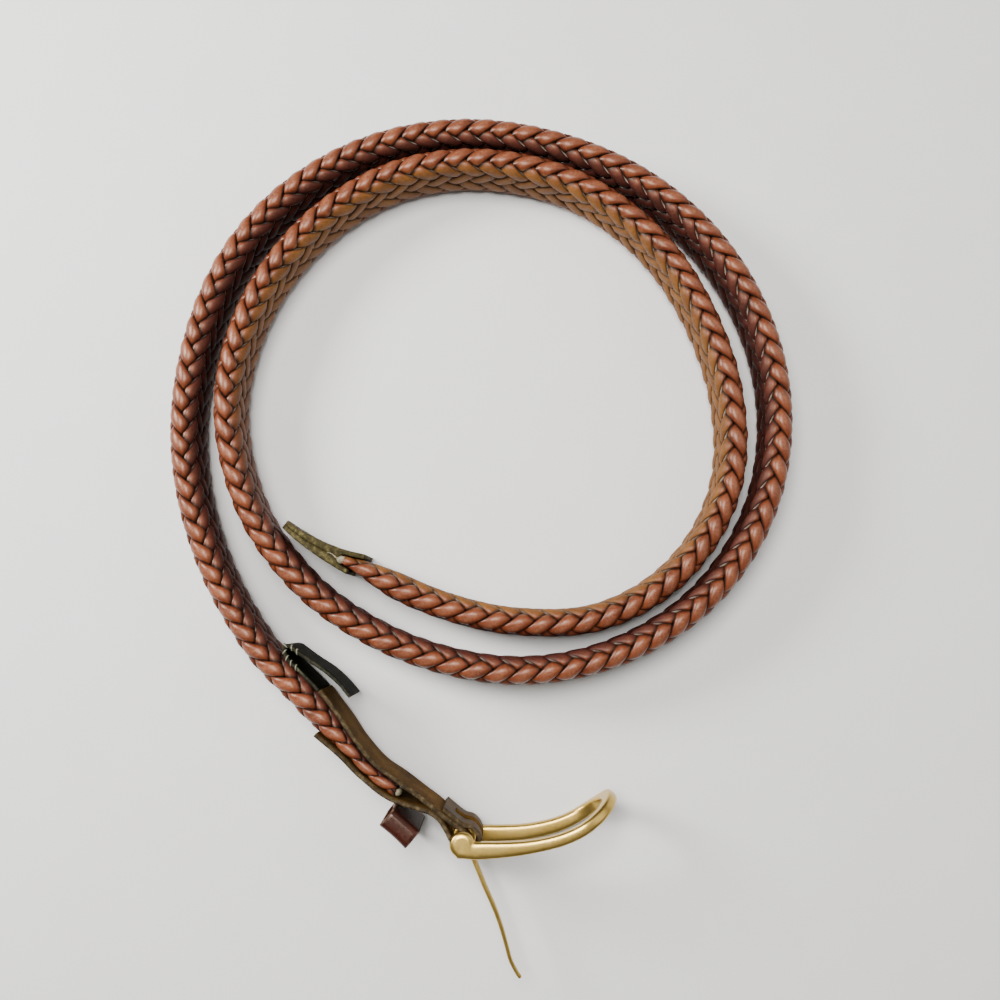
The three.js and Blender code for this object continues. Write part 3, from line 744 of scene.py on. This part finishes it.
def smooth_line(points, count):
    """Evenly spaced points on a smooth line through the given ones, and the way along it."""
    knots = [np.asarray(p, float) for p in points]
    knots = [2 * knots[0] - knots[1], *knots, 2 * knots[-1] - knots[-2]]
    dense = []
    for i in range(1, len(knots) - 2):
        p0, p1, p2, p3 = knots[i - 1 : i + 3]
        a = max(np.linalg.norm(p1 - p0), 1e-6) ** 0.5
        b = max(np.linalg.norm(p2 - p1), 1e-6) ** 0.5
        c = max(np.linalg.norm(p3 - p2), 1e-6) ** 0.5
        m1 = ((p1 - p0) / a - (p2 - p0) / (a + b) + (p2 - p1) / b) * b
        m2 = ((p2 - p1) / b - (p3 - p1) / (b + c) + (p3 - p2) / c) * b
        for t in np.linspace(0, 1, 40, endpoint=False):
            dense.append(
                (2 * t**3 - 3 * t**2 + 1) * p1
                + (t**3 - 2 * t**2 + t) * m1
                + (-2 * t**3 + 3 * t**2) * p2
                + (t**3 - t**2) * m2
            )
    dense.append(knots[-2])
    dense = np.array(dense)
    lengths = np.concatenate([[0], np.cumsum(np.linalg.norm(np.diff(dense, axis=0), axis=1))])
    wanted = np.linspace(0, lengths[-1], count)
    line = np.stack([np.interp(wanted, lengths, dense[:, k]) for k in range(3)], -1)
    way = np.gradient(line[:, :2], axis=0)
    way /= np.linalg.norm(way, axis=1)[:, None]
    return line, way, lengths[-1]


def make_sheet(name, line, inward, thickness, low, high, rows=14, wave=0.06, seed=0.0):
    """A sheet on edge along a line: slot 0 on its outer side, 1 on its inner side, 2 on its cut edges."""
    count = len(line)
    run = np.concatenate([[0], np.cumsum(np.linalg.norm(np.diff(line, axis=0), axis=1))])
    made = []
    for i in range(count):
        ease = SHEET_CORNER * thickness[i]
        ups = np.linspace(low[i] + ease, high[i] - ease, rows)
        flat = 0.5 - SHEET_CORNER
        ring = [(flat, low[i]), (-flat, low[i])]
        ring += [(-0.5, up) for up in ups]
        ring += [(-flat, high[i]), (flat, high[i])]
        ring += [(0.5, up) for up in ups[::-1]]
        for across, up in ring:
            # A slow ripple keeps the leather from looking machined
            ripple = wave * math.sin(run[i] * 0.55 + up * 0.31 + seed) * math.sin(up * 0.42 + seed)
            plan = line[i, :2] + inward[i] * (across * thickness[i] + ripple)
            made.append((plan[0], plan[1], line[i, 2] + up))
    size = 2 * rows + 4
    faces = tube_faces(count, size)
    outer = range(2, 1 + rows)
    inner = range(rows + 4, 2 * rows + 3)
    ring_slots = [0 if k in outer else (1 if k in inner else 2) for k in range(size)]
    slots = ring_slots * (count - 1) + [2, 2]
    return make_object(name, made, faces, slots)


def make_ply(name, points, thickness, count, wave=0.06, seed=0.0):
    """A ply of one thickness and of the strap's width along a smooth line."""
    line, way, _ = smooth_line(points, count)
    inward = np.stack([way[:, 1], -way[:, 0]], -1)
    full, low, high = (np.full(count, value) for value in (thickness, 0.0, STRAP_WIDTH))
    return make_sheet(name, line, inward, full, low, high, wave=wave, seed=seed)


def cut_box(piece, centre, size, heading):
    """Takes a box turned to a heading out of a piece."""
    bm = bmesh.new()
    bmesh.ops.create_cube(bm, size=1.0)
    turn = Matrix.Translation(Vector(centre) * MM) @ Matrix.Rotation(heading, 4, "Z")
    scale = Matrix.Diagonal((*[v * MM for v in size], 1))
    bmesh.ops.transform(bm, matrix=turn @ scale, verts=bm.verts)
    mesh = bpy.data.meshes.new("cutter")
    bm.to_mesh(mesh)
    bm.free()
    cutter = bpy.data.objects.new("cutter", mesh)
    bpy.context.scene.collection.objects.link(cutter)
    modifier = piece.modifiers.new("slot", "BOOLEAN")
    modifier.operation = "DIFFERENCE"
    modifier.solver = "EXACT"
    modifier.object = cutter
    bpy.context.view_layer.update()
    apply_modifiers(piece)
    bpy.data.objects.remove(cutter)
    bpy.data.meshes.remove(mesh)


def cut_slot(piece):
    past = BOSS_RADIUS + 4 * FOLD_THICKNESS
    length = SLOT_BEHIND_BAR + past
    centre = beside_bar(length / 2 - SLOT_BEHIND_BAR, 0, height=TAB_MIDDLE)
    cut_box(piece, centre, (length, 2 * past, SLOT_HEIGHT), TAB_HEADING)


neck_step = BACK_PLY_THICKNESS / 2 + FIT_GAP + FOLD_THICKNESS / 2


def fold_points():
    def offset_at(distance):
        return -(braid_thickness_at(distance) / 2 + FIT_GAP + FOLD_THICKNESS / 2)

    points = points_beside(FOLD_FRONT_REACH, BRAID_START + NECK_JOIN, PLY_SPACING, offset_at)
    near = BAR_RADIUS + FIT_GAP + FOLD_THICKNESS / 2
    far = near + BACK_PLY_THICKNESS + FIT_GAP + FOLD_SLACK
    points.append(beside_bar(-NECK_BEHIND_BAR - NECK_LENGTH, NECK_OFFSET - neck_step))
    points.append(beside_bar(-NECK_BEHIND_BAR, NECK_OFFSET - neck_step))
    for i in range(9):
        share = i / 8
        angle = math.radians(-130 + 260 * share)
        radius = near + (far - near) * smoothstep(share, 0.25, 0.6)
        points.append(beside_bar(radius * math.cos(angle), radius * math.sin(angle)))
    points.append(beside_bar(-NECK_BEHIND_BAR, NECK_OFFSET + neck_step))
    points.append(beside_bar(-NECK_BEHIND_BAR - NECK_LENGTH / 2, NECK_OFFSET + neck_step))
    return points


fold = make_ply("tab_fold_leather", fold_points(), FOLD_THICKNESS, 170, wave=0.05, seed=0.7)
cut_slot(fold)
# Seen on the way towards the bar, the fold's inward side is the belt's front
dress(fold, [suede, grain_side, ply_edge], "leather", "tab_leather", "tab_fold")


def back_ply_points():
    def offset_at(distance):
        return braid_thickness_at(distance) / 2 + FIT_GAP + BACK_PLY_THICKNESS / 2

    radius = BAR_RADIUS + FIT_GAP + BACK_PLY_THICKNESS / 2
    return [
        beside_bar(-BACK_PLY_PAST_BAR * radius, radius),
        beside_bar(-NECK_BEHIND_BAR, NECK_OFFSET),
        beside_bar(-NECK_BEHIND_BAR - NECK_LENGTH, NECK_OFFSET),
        *points_beside(BRAID_START + NECK_JOIN, BACK_PLY_REACH, PLY_SPACING, offset_at),
    ]


back_ply = make_ply("tab_back_leather", back_ply_points(), BACK_PLY_THICKNESS, 110, wave=0.06, seed=2.1)
cut_slot(back_ply)
# Seen from the bar towards the coil, this ply's outward side lies against the braid
dress(back_ply, [grain_side, suede, ply_edge], "leather", "suede_leather", "tab_back_ply")


def on_back(distance):
    return braid_thickness_at(distance) / 2 + FIT_GAP + CURL_THICKNESS / 2


leg_from = BACK_PLY_REACH + FIT_GAP
leg_to = leg_from + CURL_LEG_LENGTH
curl_points = points_beside(leg_from, leg_to, CURL_SPACING, on_back)
for back, out in CURL_CURVE:
    distance = leg_to - back * CURL_FREE_LENGTH
    curl_points.append(beside_strap(distance, on_back(distance) + out * CURL_OPEN))
curl = make_ply("curled_strip_leather", curl_points, CURL_THICKNESS, 110, wave=0.05, seed=4.0)
dress(curl, [strip_leather, strip_leather, strip_edge], "leather", "dark_leather", "curled_strip")

STITCH_FROM = 9.0
STITCH_SPACING = 1.9
STITCH_COUNT = 7
STITCH_RADIUS = 0.17
STITCH_DEPTH = 1.7
STITCH_LEAN = 0.35


def make_stitches():
    """Pale whip stitches left over the strip's long edge near its bend."""
    line, way, length = smooth_line(curl_points, 300)
    sides = 8
    parts = []
    for number in range(STITCH_COUNT):
        at = int((STITCH_FROM + number * STITCH_SPACING) / length * 299)
        along = np.array([way[at][0], way[at][1], 0.0])
        across = np.array([way[at][1], -way[at][0], 0.0])
        half = CURL_THICKNESS / 2
        path = [(-half - 0.1, -STITCH_DEPTH), (-half - 0.16, -0.6), (-half * 0.7, 0.1), (0, 0.16)]
        path += [(half * 0.7, 0.1), (half + 0.16, -0.6), (half + 0.1, -STITCH_DEPTH)]
        slant = across + along * STITCH_LEAN / half
        knots = np.array([line[at] + slant * a + np.array([0, 0, STRAP_WIDTH + up]) for a, up in path])
        ways = np.gradient(knots, axis=0)
        ways /= np.linalg.norm(ways, axis=1)[:, None]
        points = []
        for knot, go in zip(knots, ways):
            beside = np.cross(go, along)
            beside /= np.linalg.norm(beside)
            other = np.cross(go, beside)
            points += [knot + STITCH_RADIUS * (cos * beside + sin * other) for cos, sin in circle(sides)]
        parts.append((points, tube_faces(len(knots), sides)))
    points, faces = joined(parts)
    piece = make_object("strip_stitches", points, faces)
    return dress(piece, [thread], "leather", "dark_leather")


make_stitches()


def tail_halves_at(distance):
    """How far the tail's outer face and a tail ply's inner face lie from the strap's middle line."""
    over = braid_thickness_at(distance) / 2 + FIT_GAP
    from_tip = np.clip((STRAP_LENGTH - distance) / BRAID_END_BACK, 0, 1)
    past = distance - BRAID_END
    tip = TAIL_TIP_THICKNESS / 2
    full = BRAID_END_THICKNESS / 2 + FIT_GAP + TAIL_PLY_THICKNESS
    closing = smoothstep(past, 0, TAIL_CLOSE_LENGTH)
    inner = np.where(past <= 0, over, over * (1 - closing) + TAIL_SEAM / 2 * closing)
    tapered = tip + (full - tip) * from_tip**TAIL_TIP_HOLLOW
    outer = np.where(past <= 0, over + TAIL_PLY_THICKNESS, tapered)
    return outer, inner


def make_tail_ply(name, side, length, node):
    distance = np.linspace(STRAP_LENGTH - length, STRAP_LENGTH, 110)
    at, _, inward = route_at(distance)
    outer, inner = tail_halves_at(distance)
    plan = at + inward * (side * (outer + inner) / 2)[:, None]
    line = np.column_stack([plan, lift_at(distance)])
    from_tip = np.clip((STRAP_LENGTH - distance) / TIP_ROUND_LENGTH, 0, 1)
    height = TIP_END_HEIGHT + (STRAP_WIDTH - TIP_END_HEIGHT) * np.sqrt(1 - (1 - from_tip) ** 2)
    low = (STRAP_WIDTH - height) / 2
    piece = make_sheet(name, line, inward, outer - inner, low, low + height, wave=0.03, seed=side)
    faces = [grain_side, suede] if side < 0 else [suede, grain_side]
    return dress(piece, [*faces, tail_edge], "leather", "suede_leather", node)


make_tail_ply("tail_front_leather", -1, TAIL_FRONT_LENGTH, "tail_front_ply")
make_tail_ply("tail_back_leather", 1, TAIL_BACK_LENGTH, "tail_back_ply")


def make_glue_line():
    """The pale glue on the tail's long edge, where the two plies part round the braid's end."""
    count = 24
    distance = np.linspace(BRAID_END - 0.6, BRAID_END + 4.6, count)
    at, _, inward = route_at(distance)
    swell = np.sin(np.linspace(0.25, math.pi - 0.12, count))
    line = np.column_stack([at + inward * (0.25 * np.sin(distance * 1.3))[:, None], lift_at(distance)])
    # It fills the hollow in front of the braid's end, then runs out as a thin line
    thick = 0.1 + 0.28 * swell + 2.1 * (1 - smoothstep(np.abs(distance - BRAID_END - 0.1), 0.5, 1.5))
    low = np.full(count, STRAP_WIDTH - 1.2)
    high = STRAP_WIDTH + 0.05 * swell + 0.03 * np.sin(distance * 9.0)
    piece = make_sheet("tail_glue_line", line, inward, thick, low, high, rows=4, wave=0.0)
    return dress(piece, [glue, glue, glue], "leather", "suede_leather")


make_glue_line()


def make_braid_stub():
    """The pale bound end of the braid, between the tab's two plies."""
    middle, way, inward = route_at(BRAID_START - 0.1)
    top = float(lift_at(BRAID_START)) + STRAP_WIDTH - STUB_DEPTH
    points = []
    rings, sides = 9, 20
    for i in range(rings):
        turned = math.pi * (i + 0.5) / rings
        height = top + STUB_DEPTH * (1 - math.cos(turned)) / 2
        for k, (cos, sin) in enumerate(circle(sides)):
            angle = 2 * math.pi * k / sides
            ragged = 1 + 0.08 * math.sin(3 * angle + i) + 0.05 * math.sin(7 * angle)
            reach = STUB_RADIUS * math.sin(turned) * ragged
            plan = middle + inward * reach * cos + way * 0.8 * reach * sin
            points.append((plan[0], plan[1], height))
    piece = make_object("braid_stub", points, tube_faces(rings, sides))
    return dress(piece, [glue], "leather", "suede_leather")


make_braid_stub()

# Keeper
KEEPER_WIDTH = 9.4
KEEPER_DEPTH = 6.0
KEEPER_WALL = 1.5
KEEPER_CLEARANCE = 1.6
KEEPER_BEHIND_BAR = 15.6
KEEPER_CORNER = 1.8
KEEPER_INNER_CORNER = 0.4
KEEPER_STEP = 1.4
KEEPER_SAG = 0.25


def front_face_at(behind):
    """How far the tab's front lies across from the line through the bar, at a distance behind the bar."""
    distance = max(behind, BRAID_START)
    x, y = route_at(distance)[0] - bar_plan
    across = -x * math.sin(TAB_HEADING) + y * math.cos(TAB_HEADING)
    return across - float(braid_thickness_at(distance)) / 2 - FIT_GAP - FOLD_THICKNESS


def rounded_outline(width, height, corner, per_corner):
    """Points round a rectangle with rounded corners, as (across, up) about its middle."""
    points = []
    for x, y, start in ((1, -1, -90), (1, 1, 0), (-1, 1, 90), (-1, -1, 180)):
        middle = np.array([x * (width / 2 - corner), y * (height / 2 - corner)])
        for i in range(per_corner):
            angle = math.radians(start + 90 * i / (per_corner - 1))
            points.append(middle + corner * np.array([math.cos(angle), math.sin(angle)]))
    return np.array(points)


def make_keeper():
    height = STRAP_WIDTH + 2 * (KEEPER_CLEARANCE + KEEPER_WALL)
    per_corner = 8
    corners = rounded_outline(KEEPER_DEPTH, height, KEEPER_CORNER, per_corner)
    inside = [side - 2 * KEEPER_WALL for side in (KEEPER_DEPTH, height)]
    inner = rounded_outline(*inside, KEEPER_INNER_CORNER, per_corner)
    # The straight sides get points of their own, so that they can bow a little
    outline = []
    for i, (a, b) in enumerate(zip(corners, np.roll(corners, -1, axis=0))):
        straight = i % per_corner == per_corner - 1
        steps = max(1, round(np.linalg.norm(b - a) / KEEPER_STEP)) if straight else 1
        outline += [a + (b - a) * k / steps for k in range(steps)]
    size = len(outline)
    inner = np.array([inner[np.argmin(np.linalg.norm(inner - p, axis=1))] for p in outline])
    across = front_face_at(KEEPER_BEHIND_BAR + KEEPER_WIDTH / 2) - FIT_GAP - KEEPER_DEPTH / 2
    # Stations over the wall from one cut edge to the other: place along the tab, share of the way inside
    half = KEEPER_WIDTH / 2
    ease = 0.35
    stations = [(-half, 0.12), (-half + ease, 0.0)]
    stations += [(w, 0.0) for w in np.linspace(-half + 1.2, half - 1.2, 7)]
    stations += [(half - ease, 0.0), (half, 0.12)]
    back = [(w, 1.0) for w in np.linspace(half, -half, 7)]
    rings = len(stations) + len(back)
    points = []
    for w, drop in stations + back:
        for p, q in zip(outline, inner):
            x, z = p + (q - p) * drop
            # The loop sags slightly where nothing holds it
            bow = KEEPER_SAG * (1 - (w / half) ** 2) if x < 0 else 0.0
            points.append((w - KEEPER_BEHIND_BAR, across + x + bow, z))
    made = turn_and_place(points, TAB_HEADING, TAB_MIDDLE)
    faces = tube_faces(rings, size, closed=True)
    slots = []
    for i in range(rings):
        edge = i in (0, len(stations) - 2, len(stations) - 1, rings - 1)
        slots += [1 if edge else 0] * size
    piece = make_object("keeper_loop", made, faces, slots)
    face_outward(piece)
    return dress(piece, [keeper_leather, keeper_edge], "leather", "tab_leather", "keeper")


make_keeper()

# Buckle
RAIL_THICKNESS = 3.8
RAIL_END_THICKNESS = 3.1
RAIL_HEIGHT = 3.4
FRAME_LENGTH = 44.0
FRAME_CORNER = 13.0
END_BAR_WIDTH = 4.0
FRAME_HEADING = math.radians(13.4)
FRAME_BOW = 5.0
ROOT_FLARE = 1.0
LOW_RAIL_EXTRA = 1.4
BOSS_EASE = 1.2
RAIL_BOW = [
    (-0.04, -0.2), (0.1, -0.42), (0.23, -0.68), (0.36, -0.9), (0.48, -1), (0.6, -0.99),
    (0.72, -0.83), (0.84, -0.46), (0.93, -0.06), (1, 0.36),
]
PRONG_HEADING = math.radians(-68.6)
PRONG_LENGTH = 41.8
PRONG_THICKNESS = 1.5
PRONG_WIDTH = 3.4
PRONG_TIP_SHARE = 0.5
PRONG_TIP_THICKNESS = 0.78
PRONG_BOW = 1.0
PRONG_RING_WALL = 1.5
PRONG_RING_HEIGHT = 4.2
PRONG_CURVE = [
    (0.055, 0.1), (0.18, 0.4), (0.36, 0.62), (0.5, 0.95), (0.63, 0.9), (0.77, 0.4), (0.86, 0.05),
    (0.94, 0.35), (1, 0.9),
]


def superellipse(count, power):
    """Points round a unit square with well rounded corners."""
    angles = np.linspace(0, 2 * math.pi, count, endpoint=False)
    round_points = np.stack([np.cos(angles), np.sin(angles)], -1)
    return 0.5 * np.sign(round_points) * np.abs(round_points) ** (2 / power)


def lathe(profile, sides):
    """A solid turned about a vertical axis, from (radius, height) points that start and end on the axis."""
    points, faces = [], []
    ring_first = []
    for radius, height in profile:
        ring_first.append(len(points))
        if radius == 0:
            points.append((0.0, 0.0, height))
        else:
            points += [(radius * cos, radius * sin, height) for cos, sin in circle(sides)]
    for i in range(len(profile) - 1):
        a, b = ring_first[i], ring_first[i + 1]
        for k in range(sides):
            m = (k + 1) % sides
            if profile[i][0] == 0:
                faces.append((a, b + m, b + k))
            elif profile[i + 1][0] == 0:
                faces.append((a + k, a + m, b))
            else:
                faces.append((a + k, a + m, b + m, b + k))
    return points, faces


def cast(name, parts, heading, height, voxel_m, rounds):
    """Melts overlapping solids into one casting with soft inside corners."""
    points, faces = joined(parts)
    piece = make_object(name, turn_and_place(points, heading, height), faces)
    face_outward(piece)
    remesh = piece.modifiers.new("melt", "REMESH")
    remesh.mode = "VOXEL"
    remesh.voxel_size = voxel_m
    remesh.use_smooth_shade = True
    smooth = piece.modifiers.new("ease", "CORRECTIVE_SMOOTH")
    smooth.use_only_smooth = True
    smooth.iterations = rounds
    smooth.smooth_type = "SIMPLE"
    bpy.context.view_layer.update()
    apply_modifiers(piece)
    piece.data.polygons.foreach_set("use_smooth", np.full(len(piece.data.polygons), True))
    return piece


def make_frame():
    bow = [(a * FRAME_LENGTH, c * FRAME_BOW, 0.0) for a, c in RAIL_BOW]
    line, way, length = smooth_line(bow, 400)
    shares = np.linspace(0, 1, 400)
    low = RAIL_HEIGHT / 2
    high = FRAME_HEIGHT - RAIL_HEIGHT / 2
    end = length - END_BAR_WIDTH / 2
    corner = FRAME_CORNER - RAIL_HEIGHT / 2
    side = [(x, low) for x in np.linspace(0, end - corner, 40, endpoint=False)]
    for angle in np.linspace(-math.pi / 2, 0, 26, endpoint=False):
        side.append((end - corner + corner * math.cos(angle), low + corner + corner * math.sin(angle)))
    side += [(end, z) for z in np.linspace(low + corner, high - corner, 4, endpoint=False)]
    for angle in np.linspace(0, math.pi / 2, 26, endpoint=False):
        side.append((end - corner + corner * math.cos(angle), high - corner + corner * math.sin(angle)))
    side += [(x, high) for x in np.linspace(end - corner, 0, 41)]
    side = np.array(side)
    ways = np.gradient(side, axis=0)
    ways /= np.linalg.norm(ways, axis=1)[:, None]
    section = superellipse(28, 4.6)
    points = []
    for middle, along in zip(side, ways):
        for x, y in section:
            out = y * (RAIL_HEIGHT + (END_BAR_WIDTH - RAIL_HEIGHT) * abs(along[1]))
            distance = middle[0] + along[1] * out
            height = middle[1] - along[0] * out
            share = min(max(distance / length, 0), 1)
            across = x * (RAIL_THICKNESS + (RAIL_END_THICKNESS - RAIL_THICKNESS) * share)
            # Both rails flare towards their boss, and the one on the floor is the heavier one
            flare = ROOT_FLARE * (1 - smoothstep(share, 0.1, 0.5))
            flare *= 0.35 + 0.65 * smoothstep(share, 0, 0.12)
            heavier = LOW_RAIL_EXTRA * (1 - smoothstep(middle[1], low, FRAME_HEIGHT / 2))
            heavier *= (1 - 0.75 * share) * smoothstep(share, -0.02, 0.12)
            across += (x + 0.5) * max(flare, heavier)
            at = np.array([np.interp(share, shares, line[:, k]) for k in (0, 1)])
            go = np.array([np.interp(share, shares, way[:, k]) for k in (0, 1)])
            past = distance - share * length
            plan = at + go * past + np.array([go[1], -go[0]]) * across
            points.append((plan[0], plan[1], height))
    parts = [(points, tube_faces(len(side), len(section)))]
    ease = BOSS_EASE
    cut = ease / 4
    boss = [(0, 0), (BOSS_RADIUS - ease, 0), (BOSS_RADIUS - cut, cut), (BOSS_RADIUS, ease)]
    boss += [(radius, RAIL_HEIGHT - up) for radius, up in boss[::-1]]
    for base in (0, FRAME_HEIGHT - RAIL_HEIGHT):
        parts.append(lathe([(r, z + base) for r, z in boss], 48))
    inset = RAIL_HEIGHT / 2
    top = FRAME_HEIGHT - inset
    bar = [(0, inset), (BAR_RADIUS, inset), (BAR_RADIUS, top), (0, top)]
    parts.append(lathe(bar, 40))
    piece = cast("buckle_casting", parts, FRAME_HEADING, 0.0, 0.00024, 8)
    return dress(piece, [brass], "frame", "satin_brass", "buckle_frame")


def make_prong():
    bow = [(a * PRONG_LENGTH, c * PRONG_BOW, 0.0) for a, c in PRONG_CURVE]
    count = 120
    line, way, _ = smooth_line(bow, count)
    section = superellipse(20, 2.4)
    points = []
    for i in range(count):
        share = i / (count - 1)
        narrow = 1 - (1 - PRONG_TIP_SHARE) * smoothstep(share, 0.2, 1)
        thin = 1 - (1 - PRONG_TIP_THICKNESS) * smoothstep(share, 0.2, 1)
        tip = math.sqrt(max(1 - max((share - 0.985) / 0.015, 0) ** 2, 0.02))
        for x, y in section:
            across = x * PRONG_THICKNESS * thin * tip
            plan = line[i, :2] + np.array([way[i, 1], -way[i, 0]]) * across
            points.append((plan[0], plan[1], y * PRONG_WIDTH * narrow * tip))
    inside = BAR_RADIUS + FIT_GAP
    outside = inside + PRONG_RING_WALL
    half = PRONG_RING_HEIGHT / 2
    profile = [(inside, 0.3 - half), (inside + 0.3, -half), (outside - 0.5, -half), (outside, 0.5 - half)]
    profile += [(radius, -height) for radius, height in profile[::-1]]
    sides = 48
    ring_points = [(r * cos, r * sin, height) for r, height in profile for cos, sin in circle(sides)]
    ring = (ring_points, tube_faces(len(profile), sides, closed=True))
    blade = (points, tube_faces(count, len(section)))
    piece = cast("prong_casting", [blade, ring], PRONG_HEADING, TAB_MIDDLE, 0.00016, 3)
    return dress(piece, [brass], "prong", "satin_brass", "buckle_prong")


make_frame()
make_prong()

# Floor, light and camera
FLOOR_REACH_M = 3.0


def make_floor():
    mesh = bpy.data.meshes.new("floor")
    corners = [(x * FLOOR_REACH_M, y * FLOOR_REACH_M, 0) for x, y in ((-1, -1), (1, -1), (1, 1), (-1, 1))]
    mesh.from_pydata(corners, [], [(0, 1, 2, 3)])
    floor = bpy.data.objects.new("floor", mesh)
    bpy.context.scene.collection.objects.link(floor)
    n = Nodes(new_material("floor_paint", 0.85, specular=0.2))
    tone = n.noise(40.0, 3.0)
    mesh.materials.append(n.finish(n.ramp(tone, (0.3, (0.68, 0.67, 0.65)), (0.7, (0.70, 0.69, 0.67)))))


make_floor()


LIGHT_TARGET = (0, 0, 10)


def aim(thing, place_mm, target_mm):
    thing.location = Vector(place_mm) * MM
    way = Vector(target_mm) * MM - thing.location
    thing.rotation_euler = way.to_track_quat("-Z", "Y").to_euler()
    bpy.context.scene.collection.objects.link(thing)


def add_light(name, place_mm, size_mm, power):
    data = bpy.data.lights.new(name, "AREA")
    data.shape = "DISK"
    data.size = size_mm * MM
    data.energy = power
    aim(bpy.data.objects.new(name, data), place_mm, LIGHT_TARGET)


add_light("top", (-90, 110, 680), 320, 7.6)
add_light("left", (-460, 200, 330), 220, 5.5)
add_light("right", (430, 200, 380), 520, 1.0)

world = bpy.data.worlds.new("studio")
world.use_nodes = True
background = world.node_tree.nodes["Background"]
background.inputs["Color"].default_value = (1.0, 0.98, 0.95, 1)
background.inputs["Strength"].default_value = 0.2
bpy.context.scene.world = world

CAMERA_AT = (5.362, -24.68, 330.0)
CAMERA_TARGET = (5.362, 8.976, 20.0)
SENSOR_WIDTH = 36.0
# The lens that gives the photograph's perspective, as a multiple of the sensor's width
LENS_SHARE = 1.0914
camera_data = bpy.data.cameras.new("camera")
camera_data.sensor_width = SENSOR_WIDTH
camera_data.sensor_fit = "HORIZONTAL"
camera_data.lens = LENS_SHARE * SENSOR_WIDTH
camera_data.clip_start = 0.01
camera = bpy.data.objects.new("camera", camera_data)
aim(camera, CAMERA_AT, CAMERA_TARGET)
bpy.context.scene.camera = camera
